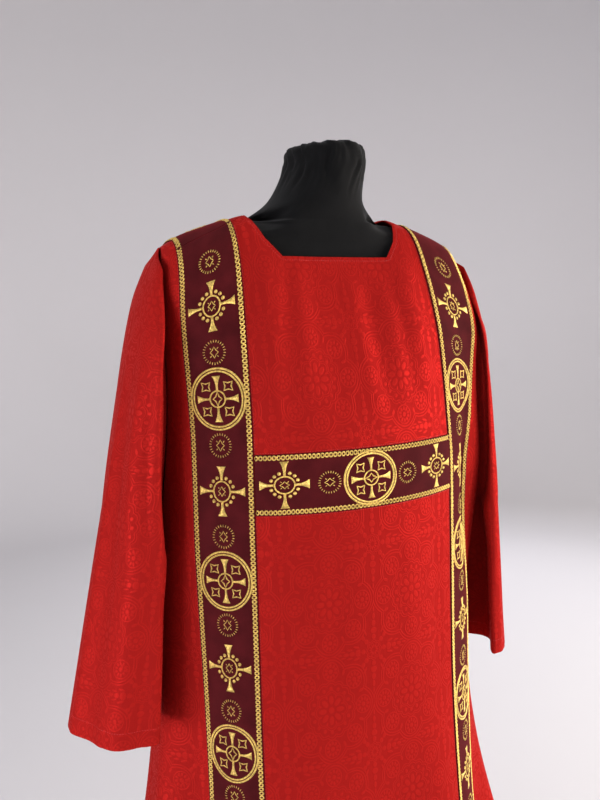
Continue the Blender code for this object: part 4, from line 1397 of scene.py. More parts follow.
class Petals(NamedTuple):
    """A ring of ovals round a middle, in mm.

    Attributes:
        centre: the middle.
        count: how many ovals.
        radius: the ring's radius.
        outward: half of each oval, away from the middle.
        around: half of it, along the ring.
        start: the first oval's turn, in degrees.
        line: width of the oval's line, or 0 for a filled one.
    """

    centre: Centre
    count: int
    radius: float
    outward: float
    around: float
    start: float = 0.0
    line: float = 0.0

    def distance(
        self, tree: NodeTree, away: NodeSocket, turn: NodeSocket
    ) -> Node:
        """Signed distance to the ovals in mm, below nought inside them.

        Args:
            tree: the material's nodes.
            away: a spot's distance from the middle, in mm.
            turn: its turn about the middle.

        Returns:
            The node that gives the distance.
        """
        if self.count == 1:
            near = add_node(tree, MATH, {0: away, 1: self.outward}, operation="SUBTRACT")
        else:
            start, wedge = math.radians(self.start), math.pi / self.count
            size = (self.outward + self.around) / 2
            shifted = add_node(tree, MATH, {0: turn, 1: start}, operation="SUBTRACT")
            fold = add_node(tree, MATH, {0: shifted, 1: wedge}, operation="PINGPONG")
            arc = add_node(tree, MATH, {0: fold, 1: away}, operation="MULTIPLY")
            oval_spot = add_node(tree, COMBINE, {0: away, 1: arc})
            place = add_node(
                tree, MAPPING,
                {0: oval_spot, "Location": (self.radius, 0, 0), "Scale": (self.outward, self.around, 1)},
                vector_type="TEXTURE",
            )
            length = add_node(tree, VECTOR_MATH, {0: place}, operation="LENGTH").outputs["Value"]
            near = add_node(tree, MATH, {0: length, 1: size, 2: -size}, operation="MULTIPLY_ADD")
        if self.line:
            near = add_node(tree, MATH, {0: near}, operation="ABSOLUTE")
            near = add_node(tree, MATH, {0: near, 1: self.line / 2}, operation="SUBTRACT")
        return near


class Foil(NamedTuple):
    """A double line of lobes round a middle, in mm.

    Attributes:
        centre: the middle.
        count: how many lobes.
        radius: the line's radius at its cusps.
        depth: how far the lobes swell out.
        gap: between the two lines.
        line: each line's width.
    """

    centre: Centre
    count: int
    radius: float
    depth: float
    gap: float
    line: float

    def distance(
        self, tree: NodeTree, away: NodeSocket, turn: NodeSocket
    ) -> Node:
        """Signed distance to the lines in mm, below nought inside them.

        Args:
            tree: the material's nodes.
            away: a spot's distance from the middle, in mm.
            turn: its turn about the middle.

        Returns:
            The node that gives the distance.
        """
        fold = add_node(tree, MATH, {0: turn, 1: math.pi / self.count}, operation="PINGPONG")
        phase = add_node(tree, MATH, {0: fold, 1: self.count / 2}, operation="MULTIPLY")
        swell = add_node(tree, MATH, {0: phase}, operation="COSINE")
        line = add_node(tree, MATH, {0: swell, 1: self.depth, 2: self.radius}, operation="MULTIPLY_ADD")
        near = add_node(tree, MATH, {0: away, 1: line}, operation="SUBTRACT")
        for share in (self.gap / 2, self.line / 2):
            near = add_node(tree, MATH, {0: near}, operation="ABSOLUTE")
            near = add_node(tree, MATH, {0: near, 1: share}, operation="SUBTRACT")
        return near


MIDDLES = {Centre.MEDALLION: (60.0, 70.0), Centre.ROSETTE: (0.0, 0.0)}
LOBES = 8
LOBE_MIDDLE = 44.0
NOISE_SPAN = {1: 0.3, 2: 0.7}  # what a noise mostly stays between, as the inputs that Map Range reads it by
PETALS = [
    # a roundel in each lobe of the frame, with leaves between them
    Petals(Centre.LOBE, 1, 0.0, 10.2, 10.2, line=1.4),
    Petals(Centre.LOBE, 10, 6.6, 2.3, 1.5),
    Petals(Centre.LOBE, 1, 0.0, 2.6, 2.6),
    Petals(Centre.MEDALLION, 8, 44.2, 3.4, 1.7, 22.5),
    # the scalloped medallion, from its border in
    Petals(Centre.MEDALLION, 16, 24.6, 2.4, 2.1),
    Petals(Centre.MEDALLION, 8, 11.8, 5.0, 3.0),
    Petals(Centre.MEDALLION, 8, 16.4, 2.2, 1.0, 22.5),
    Petals(Centre.MEDALLION, 1, 0.0, 3.6, 3.6),
    # the rosette between four frames, and the sprays that run out from it
    Petals(Centre.ROSETTE, 12, 4.6, 1.9, 0.9),
    Petals(Centre.ROSETTE, 8, 15.4, 3.0, 2.8),
    Petals(Centre.ROSETTE, 4, 22.0, 3.4, 2.4, 45.0),
    Petals(Centre.ROSETTE, 4, 22.8, 3.6, 4.4),
    Petals(Centre.ROSETTE, 8, 25.5, 4.4, 1.4, 15.0),
    Petals(Centre.ROSETTE, 4, 30.8, 3.6, 2.8),
    Petals(Centre.ROSETTE, 8, 34.5, 3.8, 1.2, 8.2),
    Petals(Centre.ROSETTE, 4, 39.0, 3.6, 2.0),
    Petals(Centre.ROSETTE, 8, 43.0, 3.2, 0.9, 4.6),
    Petals(Centre.ROSETTE, 4, 47.0, 3.0, 1.2),
]
FOILS = [
    Foil(Centre.MEDALLION, 8, 49.6, 9.2, 3.4, 1.6),
    Foil(Centre.MEDALLION, 16, 29.6, 2.6, 2.8, 1.2),
    Foil(Centre.MEDALLION, 8, 18.2, 3.4, 2.4, 1.0),
    Foil(Centre.ROSETTE, 8, 8.6, 1.8, 2.2, 1.0),
]


@dataclass(frozen=True)
class Damask:
    """Soft red damask: a satin ground with the figure woven in the other face, paler where it catches light.

    Attributes:
        ground: colour of the satin ground.
        figure: colour of the woven figure.
        gloss: colour of the light that the threads throw back.
        repeat: the figure's repeat across and along, in mm.
        slub: length of a thick place in the weft, in mm.
        grain: size of the weave as drawn, in mm; the real threads, 0.2 mm, are too fine to show.
        edge: half-width of the figure's soft edge, in mm.
        relief_edge: the same of its relief.
        relief_height: how far the figure stands up, in metres.
        thread_height: height of the weave against the figure's.
        roughness: of the ground and of the figure.
    """

    ground: str = "#941A17"
    figure: str = "#A01D19"
    gloss: str = "#FF584C"
    repeat: Pair = (120.0, 140.0)
    slub: float = 14.0
    grain: float = 0.9
    edge: float = 0.35
    relief_edge: float = 0.9
    relief_height: float = 0.00024
    thread_height: float = 0.2
    roughness: Pair = (0.66, 0.44)

    @staticmethod
    def polar(tree: NodeTree, spot: Node) -> tuple[NodeSocket, ...]:
        """Finds a spot's distance and turn from the origin.

        Args:
            tree: the material's nodes.
            spot: the node that gives the spot.

        Returns:
            The distance and the turn.
        """
        parts = add_node(tree, SEPARATE, {0: spot}).outputs
        away = add_node(tree, VECTOR_MATH, {0: spot}, operation="LENGTH")
        turn = add_node(tree, MATH, {0: parts[1], 1: parts[0]}, operation="ARCTAN2")
        return away.outputs["Value"], turn.outputs[0]

    def figure_distance(self, tree: NodeTree, spot: Node) -> Node:
        """Signed distance to the woven figure in mm, below nought inside it.

        Args:
            tree: the material's nodes.
            spot: the node that gives the place in one quarter of the repeat, in mm.

        Returns:
            The node that gives the distance.
        """
        stretch = self.repeat[1] / self.repeat[0]
        around = {}
        for centre, middle in MIDDLES.items():
            centred = add_node(
                tree, MAPPING, {0: spot, "Location": (*middle, 0), "Scale": (1, stretch, 1)},
                vector_type="TEXTURE",
            )
            around[centre] = self.polar(tree, centred)
        away, turn = around[Centre.MEDALLION]
        fold = add_node(tree, MATH, {0: turn, 1: math.pi / LOBES}, operation="PINGPONG")
        cosine, sine = (add_node(tree, MATH, {0: fold}, operation=way) for way in ("COSINE", "SINE"))
        ahead, aside = (
            add_node(tree, MATH, {0: away, 1: part}, operation="MULTIPLY") for part in (cosine, sine)
        )
        past = add_node(tree, MATH, {0: ahead, 1: LOBE_MIDDLE}, operation="SUBTRACT")
        around[Centre.LOBE] = self.polar(tree, add_node(tree, COMBINE, {0: past, 1: aside}))
        nearest, *others = (ring.distance(tree, *around[ring.centre]) for ring in [*PETALS, *FOILS])
        for other in others:
            nearest = add_node(tree, MATH, {0: nearest, 1: other}, operation="MINIMUM")
        return nearest

    def build(self) -> Material:
        """Makes the material.

        Returns:
            The material.
        """
        material, tree, shader = new_material("red_damask_woven")
        cut = add_node(tree, "ShaderNodeUVMap", uv_map=CUT_MAP)
        cloth_mm = add_node(tree, VECTOR_MATH, {0: cut, "Scale": 1000.0}, operation="SCALE")
        parts = add_node(tree, SEPARATE, {0: cloth_mm}).outputs
        across, along = (
            add_node(tree, MATH, {0: parts[k], 1: self.repeat[k] / 2}, operation="PINGPONG")
            for k in (0, 1)
        )
        spot = add_node(tree, COMBINE, {0: across, 1: along})
        distance = self.figure_distance(tree, spot)
        figure, relief = (
            add_node(tree, MAP_RANGE, {0: distance, 1: soft, 2: -soft}, interpolation_type="SMOOTHSTEP")
            for soft in (self.edge, self.relief_edge)
        )
        weft, warp = (
            add_node(tree, MAPPING, {0: cloth_mm, "Scale": (1 / width, 1 / length, 1)})
            for width, length in ((self.slub, self.grain), (self.grain, self.slub))
        )
        weft_threads, warp_threads = (
            add_node(tree, NOISE, {"Vector": way, "Scale": 1.0, "Detail": 2.0})
            for way in (weft, warp)
        )
        weave = add_node(tree, "ShaderNodeMix", {"Factor": figure, "A": warp_threads, "B": weft_threads})
        tone = add_node(
            tree, "ShaderNodeMix", {"Factor": figure, 6: linear(self.ground), 7: linear(self.figure)},
            data_type="RGBA",
        ).outputs[2]
        shade = add_node(tree, MAP_RANGE, {0: weave, **NOISE_SPAN, 3: 0.95, 4: 1.05})
        rough = add_node(tree, MAP_RANGE, {0: figure, 3: self.roughness[0], 4: self.roughness[1]})
        height = add_node(
            tree, MATH, {0: weave, 1: self.thread_height, 2: relief}, operation="MULTIPLY_ADD"
        )
        feed(shader, {
            "Base Color": add_node(tree, VECTOR_MATH, {0: tone, "Scale": shade}, operation="SCALE"),
            "Roughness": rough,
            "Normal": add_node(
                tree, BUMP, {"Strength": 1.0, "Distance": self.relief_height, "Height": height}
            ),
            "Metallic": 0.25,  # satin throws light back in the thread's own colour
            "Specular IOR Level": 0.016, "Specular Tint": linear(self.gloss),
            "Sheen Weight": 0.05, "Sheen Roughness": 0.4, "Sheen Tint": linear(self.gloss),
        })
        material.diffuse_color = linear(self.ground)
        return material


@dataclass(frozen=True)
class Velvet:
    """Burgundy velvet, a short cut pile: dark from the front, lighter where it turns away.

    Attributes:
        pile: colour of the pile.
        bloom: colour of its sheen.
        nap: size of the places where the pile lies differently, in mm.
        tuft: size of the pile as drawn, in mm; the real one, 0.2 mm, is too fine to show.
    """

    pile: str = "#451013"
    bloom: str = "#B41E2A"
    nap: float = 28.0
    tuft: float = 0.8

    def build(self) -> Material:
        """Makes the material.

        Returns:
            The material.
        """
        material, tree, shader = new_material("burgundy_velvet_pile")
        cut = add_node(tree, "ShaderNodeUVMap", uv_map=CUT_MAP)
        nap, tuft = (
            add_node(tree, NOISE, {"Vector": cut, "Scale": 1000 / size, "Detail": 3.0})
            for size in (self.nap, self.tuft)
        )
        lie = add_node(tree, MAP_RANGE, {0: nap, **NOISE_SPAN, 3: 0.8, 4: 1.25})
        speck = add_node(tree, MAP_RANGE, {0: tuft, **NOISE_SPAN, 3: 0.8, 4: 1.2})
        shade = add_node(tree, MATH, {0: lie, 1: speck}, operation="MULTIPLY")
        pile = {0: linear(self.pile)[:3], "Scale": shade}
        feed(shader, {
            "Base Color": add_node(tree, VECTOR_MATH, pile, operation="SCALE"),
            "Normal": add_node(tree, BUMP, {"Strength": 0.5, "Distance": 0.0003, "Height": tuft}),
            "Roughness": 0.85, "Specular IOR Level": 0.05,
            "Sheen Weight": 0.35, "Sheen Roughness": 0.35, "Sheen Tint": linear(self.bloom),
        })
        material.diffuse_color = linear(self.pile)
        return material


@dataclass(frozen=True)
class GoldThread:
    """Metallised gold embroidery thread in satin stitch: glossy, ribbed across each line.

    Attributes:
        metal: colour of the thread.
        pitch: from one thread to the next as drawn, in mm; the real one is 0.3 mm.
        glint_spots: number of spots in a metre where painted highlights and painted shade stand in for the
            thread's glints.
    """

    metal: str = "#E8C468"
    pitch: float = 0.6
    glint_spots: float = 420.0

    def build(self) -> Material:
        """Makes the material.

        Returns:
            The material.
        """
        material, tree, shader = new_material("gold_thread_satin_stitch")
        ribs = add_node(tree, "ShaderNodeTexWave", {
            "Vector": add_node(tree, "ShaderNodeUVMap", uv_map=THREAD_MAP),
            "Scale": 1000 * math.pi / (10 * self.pitch), "Distortion": 0.6, "Detail": 1.0,
            "Detail Scale": 2.0,
        }, bands_direction="X").outputs["Fac"]
        place = add_node(tree, "ShaderNodeTexCoord").outputs["Object"]
        spots = add_node(tree, NOISE, {"Vector": place, "Scale": self.glint_spots, "Detail": 2.0})
        # painted shade between the threads and painted highlight on their tops, following the same ribs as
        # the bump
        painted_rib_shade = add_node(tree, MAP_RANGE, {0: ribs, 3: 0.55, 4: 1.12})
        # painted highlights and painted shade in small spots, standing in for the glints of the metal thread
        painted_glints = add_node(tree, MAP_RANGE, {0: spots, 1: 0.35, 2: 0.65, 3: 0.62, 4: 1.2})
        shade = add_node(tree, MATH, {0: painted_rib_shade, 1: painted_glints}, operation="MULTIPLY")
        metal = {0: linear(self.metal)[:3], "Scale": shade}
        feed(shader, {
            "Base Color": add_node(tree, VECTOR_MATH, metal, operation="SCALE"),
            "Normal": add_node(tree, BUMP, {"Strength": 0.6, "Distance": 0.0002, "Height": ribs}),
            "Metallic": 0.7, "Roughness": 0.42,
        })
        material.diffuse_color = linear(self.metal)
        return material


@dataclass(frozen=True)
class SewingThread:
    """Polyester sewing thread in the cloth's own red: a little glossier than the cloth.

    Attributes:
        colour: the thread's colour.
        twist: number of turns of its twist in a metre, as drawn.
    """

    colour: str = "#B42022"
    twist: float = 900.0

    def build(self) -> Material:
        """Makes the material.

        Returns:
            The material.
        """
        material, tree, shader = new_material("red_sewing_thread")
        place = add_node(tree, "ShaderNodeTexCoord").outputs["Object"]
        twist = add_node(tree, NOISE, {"Vector": place, "Scale": self.twist})
        shade = add_node(tree, MAP_RANGE, {0: twist, 3: 0.8, 4: 1.2})
        colour = {0: linear(self.colour)[:3], "Scale": shade}
        feed(shader, {
            "Base Color": add_node(tree, VECTOR_MATH, colour, operation="SCALE"), "Roughness": 0.5,
        })
        return material


@dataclass(frozen=True)
class Jersey:
    """Black cotton jersey drawn over the form: matt, with fine knitted ribs.

    Attributes:
        colour: the yarn's colour.
        wale: from one rib to the next as drawn, in mm; the real one, 0.7 mm, is too fine to show.
        course: number of rows of the knit in a metre.
        lint: number of paler places in a metre.
    """

    colour: str = "#070707"
    wale: float = 1.6
    course: float = 260
    lint: float = 60.0

    def build(self) -> Material:
        """Makes the material.

        Returns:
            The material.
        """
        material, tree, shader = new_material("black_cotton_jersey")
        place = add_node(tree, "ShaderNodeTexCoord").outputs["Object"]
        ribs = (1000 / self.wale, 1000 / self.wale, self.course)
        stretched = add_node(tree, MAPPING, {0: place, "Scale": ribs})
        knit = add_node(tree, NOISE, {"Vector": stretched, "Scale": 1.0, "Detail": 2.0})
        lint = add_node(tree, NOISE, {"Vector": place, "Scale": self.lint, "Detail": 4.0})
        shade = add_node(tree, MAP_RANGE, {0: lint, **NOISE_SPAN, 3: 0.75, 4: 1.3})
        colour = {0: linear(self.colour)[:3], "Scale": shade}
        feed(shader, {
            "Base Color": add_node(tree, VECTOR_MATH, colour, operation="SCALE"),
            "Normal": add_node(tree, BUMP, {"Strength": 0.5, "Distance": 0.0003, "Height": knit}),
            "Roughness": 0.9, "Specular IOR Level": 0.12, "Sheen Weight": 0.04, "Sheen Roughness": 0.5,
        })
        return material


@dataclass(frozen=True)
class PowderCoat:
    """Black powder-coated steel: satin, with a fine orange peel.

    Attributes:
        colour: the coat's colour.
        peel: size of the orange peel, in mm.
        dust: number of duller places in a metre.
    """

    colour: str = "#1B1C1E"
    peel: float = 1.8
    dust: float = 14.0

    def build(self) -> Material:
        """Makes the material.

        Returns:
            The material.
        """
        material, tree, shader = new_material("black_powder_coated_steel")
        place = add_node(tree, "ShaderNodeTexCoord").outputs["Object"]
        peel = add_node(tree, NOISE, {"Vector": place, "Scale": 1000 / self.peel, "Detail": 1.0})
        dust = add_node(tree, NOISE, {"Vector": place, "Scale": self.dust, "Detail": 5.0})
        shade = add_node(tree, MAP_RANGE, {0: dust, **NOISE_SPAN, 3: 0.9, 4: 1.15})
        colour = {0: linear(self.colour)[:3], "Scale": shade}
        feed(shader, {
            "Base Color": add_node(tree, VECTOR_MATH, colour, operation="SCALE"),
            "Roughness": add_node(tree, MAP_RANGE, {0: dust, **NOISE_SPAN, 3: 0.36, 4: 0.52}),
            "Normal": add_node(tree, BUMP, {"Strength": 0.3, "Distance": 0.0001, "Height": peel}),
        })
        return material


@dataclass(frozen=True)
class StudioFloor:
    """The matt pale paper that the stand is placed on."""

    colour: str = "#CBC9CB"

    def build(self) -> Material:
        """Makes the material.

        Returns:
            The material.
        """
        material, _, shader = new_material("pale_studio_paper")
        feed(shader, {"Base Color": linear(self.colour), "Roughness": 0.95, "Specular IOR Level": 0.1})
        return material


# ---- the pieces
class Slot(Enum):
    """The record's material slots."""

    CLOTH = "red_damask"
    BAND = "burgundy_velvet"
    FORM = "black_jersey"
    STAND = "black_steel"


class Held(Enum):
    """What keeps a soft piece where it is."""

    DRAPED = "draped"
    HUNG = "hung"
    LAID = "laid"


def show(name: str, mesh: Mesh) -> Object:
    """Puts a mesh in the scene as an object at the origin.

    Args:
        name: the object's name.
        mesh: the mesh.

    Returns:
        The object.
    """
    piece = bpy.data.objects.new(name, mesh)
    bpy.context.scene.collection.objects.link(piece)
    return piece


def plain_mesh(piece: Object) -> Mesh:
    """Makes a mesh of a piece as its modifiers leave it."""
    evaluated = piece.evaluated_get(bpy.context.evaluated_depsgraph_get())
    return bpy.data.meshes.new_from_object(evaluated)


def turned_mesh(name: str, profile: Sequence[Pair], segments: int) -> Mesh:
    """Turns a profile round the upright axis.

    Args:
        name: the mesh's name.
        profile: radius and height of each ring; an end of radius 0 closes the shape on the axis.
        segments: faces round it.

    Returns:
        The mesh.
    """
    bm = bmesh.new()
    turns = [2 * math.pi * k / segments for k in range(segments)]
    rings = []
    for radius, height in profile:
        spots = turns if radius > 0 else [0.0]
        rings.append([bm.verts.new((radius * math.cos(t), radius * math.sin(t), height)) for t in spots])
    for ring, following in zip(rings, rings[1:]):
        for k in range(segments):
            after = (k + 1) % segments
            if len(ring) == 1:
                bm.faces.new((ring[0], following[k], following[after]))
            elif len(following) == 1:
                bm.faces.new((ring[k], following[0], ring[after]))
            else:
                bm.faces.new((ring[k], following[k], following[after], ring[after]))
    mesh = bpy.data.meshes.new(name)
    bm.to_mesh(mesh)
    bm.free()
    mesh.shade_smooth()
    return mesh


def dress(piece: Object, material: Material, slot: Slot, *nodes: str) -> None:
    """Gives a piece its finish and its body, hides the nodes that it stands for, and reports it.

    Args:
        piece: the piece.
        material: its finish.
        slot: not used.
        nodes: the nodes that aren't shown because of it.
    """
    piece.data.materials.clear()
    piece.data.materials.append(material)
    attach(piece, "root")
    if nodes:
        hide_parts(*nodes)
    LOG.info("%s: %d faces", piece.name, len(piece.data.polygons))


def grid_lines(run: np.ndarray, low: float, high: float, near: float, apart: float = 0.3) -> np.ndarray:
    """Chooses fractional grid lines between two lengths, with one more near each border.

    Args:
        run: length of each grid line along the cloth.
        low: where the part starts.
        high: where it ends.
        near: how far the extra lines lie inside the borders.
        apart: least step from an extra line to the next one, as a share of the grid's step.

    Returns:
        The grid lines' fractional indexes.
    """
    index = np.arange(len(run))
    ends = np.interp([low, low + near, high - near, high], run, index)
    inner = index[(index > ends[1] + apart) & (index < ends[2] - apart)]
    return np.concatenate([ends[:2], inner, ends[2:]])


@dataclass
class Embroidery:
    """Gold work on the bands: a looped edging and the ornaments, in their order.

    Attributes:
        thread: the gold thread's material.
        laying: what lays it on the cloth.
        edge_pitch: from one loop of the edging to the next.
        edge_inset: the edging's middle line, from the band's edge.
        pitch: from one ornament to the next.
        ornaments: the ornaments' flat shapes, in their order.
        edging: the edging's flat loop.
    """

    thread: Material
    laying: Laying = field(default_factory=Laying)
    edge_pitch: float = 0.0054
    edge_inset: float = 0.0042
    pitch: float = 0.0565
    ornaments: Collection = field(init=False)
    edging: Collection = field(init=False)

    def __post_init__(self) -> None:
        """Makes the flat shapes."""
        self.ornaments = shape_set("ornaments", [circlet(), beaded_cross(), circlet(), medallion()])
        self.edging = shape_set("edging", [chain_link()])

    def work(
        self,
        name: str,
        cloth: Cloth,
        edges: list[list[Pair]],
        middle: list[Pair],
        first: int,
    ) -> None:
        """Works one band.

        Args:
            name: the band's name.
            cloth: the band's outer face with its own cut.
            edges: the two lines of the edging.
            middle: the line that the ornaments start on and may fill.
            first: where in their order the ornaments start.
        """
        start, end = np.array(middle)
        room = np.linalg.norm(end - start)
        last = start + (end - start) * (math.floor(room / self.pitch) * self.pitch / room)
        work = (
            ("edging", edges, self.edging, self.edge_pitch, 0),
            ("ornaments", [[tuple(start), tuple(last)]], self.ornaments, self.pitch, first),
        )
        for kind, lines, shapes, pitch, skipped in work:
            self.laying.lay(f"{name}_{kind}", cloth, lines, shapes, pitch, self.thread, Slot.BAND, skipped)


@dataclass(frozen=True)
class Stuff:
    """What a soft piece is cut from.

    Attributes:
        finish: its material.
        slot: the record's slot that it takes the finish from.
        thickness: its wall.
        outward: 1 where the wall lies outside the face that is drawn, -1 where it lies inside.
    """

    finish: Material
    slot: Slot
    thickness: float
    outward: int


@dataclass
class Garment:
    """The dalmatic: two panels, two sleeves, and the velvet bands with their gold work.

    Attributes:
        damask: the cloth's finish.
        velvet: the bands' finish.
        sewing: the sewing thread's finish.
        embroidery: the gold work.
        border: how far inside a band's edge its extra grid line runs.
        stitch_pitch: from one stitch to the next.
        stitch_inset: how far outside a band's edge it is sewn down.
        neck_inset: how far below the neck's edge its facing is sewn.
        hem_depth: how far above its edge a hem or a cuff is sewn.
        first_ornament: the first ornament's middle, below the shoulder seam.
        edging_start: where the edging starts, below the shoulder seam.
        chest_first_ornament: the first ornament's middle, from the chest band's end.
        chest_edging_start: where the chest band's edging starts, from its end.
        work_end: how far inside a band's far end its gold work stops.
        allowance_wall: thickness of the side seams' pressed allowances.
        form: the dress form that carries the garment.
        stitches: the stitch's flat shape.
        seam_rows: how many rows of a panel's grid lie beside its side seam.
    """

    damask: Material
    velvet: Material
    sewing: Material
    embroidery: Embroidery
    border: float = 0.0007
    stitch_pitch: float = 0.0032
    stitch_inset: float = 0.0014
    neck_inset: float = 0.005
    hem_depth: float = 0.022
    first_ornament: dict[Side, float] = field(default_factory=lambda: {Side.LEFT: 0.048, Side.RIGHT: 0.042})
    edging_start: float = 0.0015
    chest_first_ornament: float = 0.036
    chest_edging_start: float = 0.002
    work_end: float = 0.001
    allowance_wall: float = 0.0008
    form: Object = field(init=False)
    stitches: Collection = field(init=False)
    seam_rows: int = field(init=False)

    ALLOWANCE_COLUMNS = (3, 2, 0)  # grid columns that a seam's allowance follows, counted from the seam
    FIRST_SEWN_ROW = 2  # grid row of a panel where the stitches beside its bands start

    def __post_init__(self) -> None:
        """Makes the flat stitch."""
        self.stitches = shape_set("stitches", [stitch()])

    def sheet(self, mesh: Mesh, cloth: Cloth, stuff: Stuff, held: Held, *nodes: str) -> None:
        """Makes one soft piece.

        Args:
            mesh: its face, which has the piece's name.
            cloth: the sheet that the face is drawn from.
            stuff: what it is cut from.
            held: not used.
            nodes: the nodes that aren't shown because of it.
        """
        piece = show(mesh.name, mesh)
        solid = piece.modifiers.new("wall", "SOLIDIFY")
        solid.thickness = stuff.thickness
        solid.offset = stuff.outward
        solid.use_quality_normals = True
        dress(piece, stuff.finish, stuff.slot, *nodes)
        cloth.flat()

    def panel(self, panel: Panel, cloth: Cloth) -> None:
        """Makes the front or the back.

        Args:
            panel: the front or the back.
            cloth: its outer face.
        """
        name = f"{panel.face.value}_panel"
        damask = Stuff(self.damask, Slot.CLOTH, CLOTH_WALL, -1)
        self.sheet(cloth.mesh(name + "_cloth"), cloth, damask, Held.DRAPED, name)
        self.sew(name + "_stitches", cloth, self.panel_seams(panel, cloth))

    def sew(self, name: str, cloth: Cloth, lines: list[np.ndarray]) -> None:
        """Sews rows of stitches in the cloth's own red.

        Args:
            name: the piece's name.
            cloth: the cloth's outer face.
            lines: where they run in its cut.
        """
        self.embroidery.laying.lay(
            name, cloth, lines, self.stitches, self.stitch_pitch, self.sewing, Slot.CLOTH
        )

    def panel_seams(self, panel: Panel, cloth: Cloth) -> list[np.ndarray]:
        """Where a panel is sewn: along its bands, round the neck and above the hem.

        Args:
            panel: the front or the back.
            cloth: its outer face.

        Returns:
            The lines, in the cut's coordinates.
        """
        lines = []
        for column, way in ((panel.column(1.0), -1), (panel.column(2.0), 1)):
            for index in (panel.centre() - column, panel.centre() + column):
                line = cloth.cut[self.FIRST_SEWN_ROW :, index]
                lines.append(line + (way * np.sign(line[0, 0]) * self.stitch_inset, 0.0))
        neck = panel.column(NECK_END / BODY[0].front_edge)
        edge = cloth.cut[0, panel.centre() - neck : panel.centre() + neck + 1]
        along = np.gradient(edge, axis=0)
        along /= np.linalg.norm(along, axis=1, keepdims=True)
        below = np.stack([along[:, 1], -along[:, 0]], axis=1) * np.sign(along[:, :1])
        lines.append((edge + below * self.neck_inset)[1:-1])
        lines.append(cloth.cut[-1, 1:-1] + (0.0, self.hem_depth))
        if panel.face is Face.FRONT:
            half = panel.column(1.0)
            for drop, way in ((CHEST_BAND_TOP, 1), (CHEST_BAND_FOOT, -1)):
                line = cloth.cut[panel.row(drop), panel.centre() - half + 1 : panel.centre() + half]
                lines.append(line + (0.0, way * self.stitch_inset))
        return lines

    def side_seam(self, side: Side, cloths: dict[Face, Cloth]) -> None:
        """Makes the seam's pressed allowances, behind one side seam from the armhole to the hem.

        Args:
            side: the wearer's left or right.
            cloths: the two panels' outer faces.
        """
        away = np.array(self.ALLOWANCE_COLUMNS) + 1
        halves = []
        for face in Face:
            lower = cloths[face].raised(-CLOTH_WALL - LAY_GAP).points[-self.seam_rows :]
            halves.append(lower[:, -away] if side is Side.LEFT else lower[:, away - 1])
        front, back = halves
        middle = (front[:, -1:] + back[:, -1:]) / 2
        points = np.concatenate([front[:, :-1], middle, back[:, -2::-1]], axis=1)
        strip = own_cut(Cloth(points, np.zeros((*points.shape[:2], 2)), side is Side.RIGHT))
        damask = Stuff(self.damask, Slot.CLOTH, self.allowance_wall, -1)
        self.sheet(strip.mesh(f"side_seam_{side.value}"), strip, damask, Held.LAID)

    def sleeve(self, side: Side) -> None:
        """Makes one sleeve.

        Args:
            side: the wearer's left or right.
        """
        cloth, joined = Sleeve(side).cloth()
        name = f"sleeve_{side.value}"
        damask = Stuff(self.damask, Slot.CLOTH, CLOTH_WALL, -1)
        self.sheet(cloth.mesh(name + "_cloth", joined), cloth, damask, Held.HUNG, name)
        self.sew(name + "_stitches", cloth, [cloth.cut[-1, 1:-1] + (0.0, self.hem_depth)])

    def band(self, name: str, part: Cloth, width: float | None) -> Cloth:
        """Makes one band.

        Args:
            name: its node's name.
            part: the cloth under it.
            width: its width where it is even.

        Returns:
            The band's outer face.
        """
        low = own_cut(part.raised(LAY_GAP), width)
        velvet = Stuff(self.velvet, Slot.BAND, BAND_WALL, 1)
        self.sheet(low.mesh(name + "_velvet"), low, velvet, Held.LAID, name)
        return own_cut(part.raised(LAY_GAP + BAND_WALL), width)

    def clavus(self, panel: Panel, cloth: Cloth, side: Side) -> None:
        """Makes one of a panel's two bands, from the shoulder to the hem.

        Args:
            panel: the front or the back.
            cloth: its outer face.
            side: the wearer's left or right.
        """
        first, last = panel.column(1.0), panel.column(2.0)
        span = np.arange(first, last + 1, dtype=float) * side.way + panel.centre()
        part = part_of(cloth, np.arange(cloth.points.shape[0], dtype=float), np.sort(span))
        name = f"clavus_{panel.face.value}_{side.value}"
        top = self.band(name, part, BAND_WIDTH)
        length = float(-top.cut[-1, 0, 1])
        inset, end = self.embroidery.edge_inset, self.work_end - length
        edges = [[(u, -self.edging_start), (u, end)] for u in (inset, BAND_WIDTH - inset)]
        middle = [(BAND_WIDTH / 2, -self.first_ornament[side]), (BAND_WIDTH / 2, end)]
        self.embroidery.work(name, top, edges, middle, 0)

    def chest_band(self, panel: Panel, cloth: Cloth) -> None:
        """Makes the band across the chest, between the two front bands.

        Args:
            panel: the front.
            cloth: its outer face.
        """
        rows = np.arange(panel.row(CHEST_BAND_TOP), panel.row(CHEST_BAND_FOOT) + 1, dtype=float)
        half = panel.column(1.0)
        index = np.arange(panel.centre() - half, panel.centre() + half + 1)
        run = run_along(cloth.points[int(rows.mean()), index])
        columns = grid_lines(run, SEAM_GAP, run[-1] - SEAM_GAP, self.border) + index[0]
        down = run_along(cloth.points[rows.astype(int), panel.centre()])
        rows = grid_lines(down, 0.0, down[-1], self.border) + rows[0]
        top = self.band("chest_band", part_of(cloth, rows, columns), None)
        length = float(top.cut[:, -1, 0].min())
        height = float(-top.cut[-1, 0, 1])
        inset, end = self.embroidery.edge_inset, length - self.work_end
        edges = [[(self.chest_edging_start, -v), (end, -v)] for v in (inset, height - inset)]
        middle = [(self.chest_first_ornament, -height / 2), (end, -height / 2)]
        self.embroidery.work("chest_band", top, edges, middle, 1)

    def build(self, form: Object) -> None:
        """Makes every piece of the garment.

        Args:
            form: the dress form that carries it.
        """
        self.form = form
        cloths = {}
        for face in Face:
            panel = Panel(face)
            cloth = cloths[face] = panel.cloth()
            self.seam_rows = panel.rows_below_armhole()
            self.panel(panel, cloth)
            for side in Side:
                self.clavus(panel, cloth, side)
            if face is Face.FRONT:
                self.chest_band(panel, cloth)
        for side in Side:
            self.side_seam(side, cloths)
            self.sleeve(side)


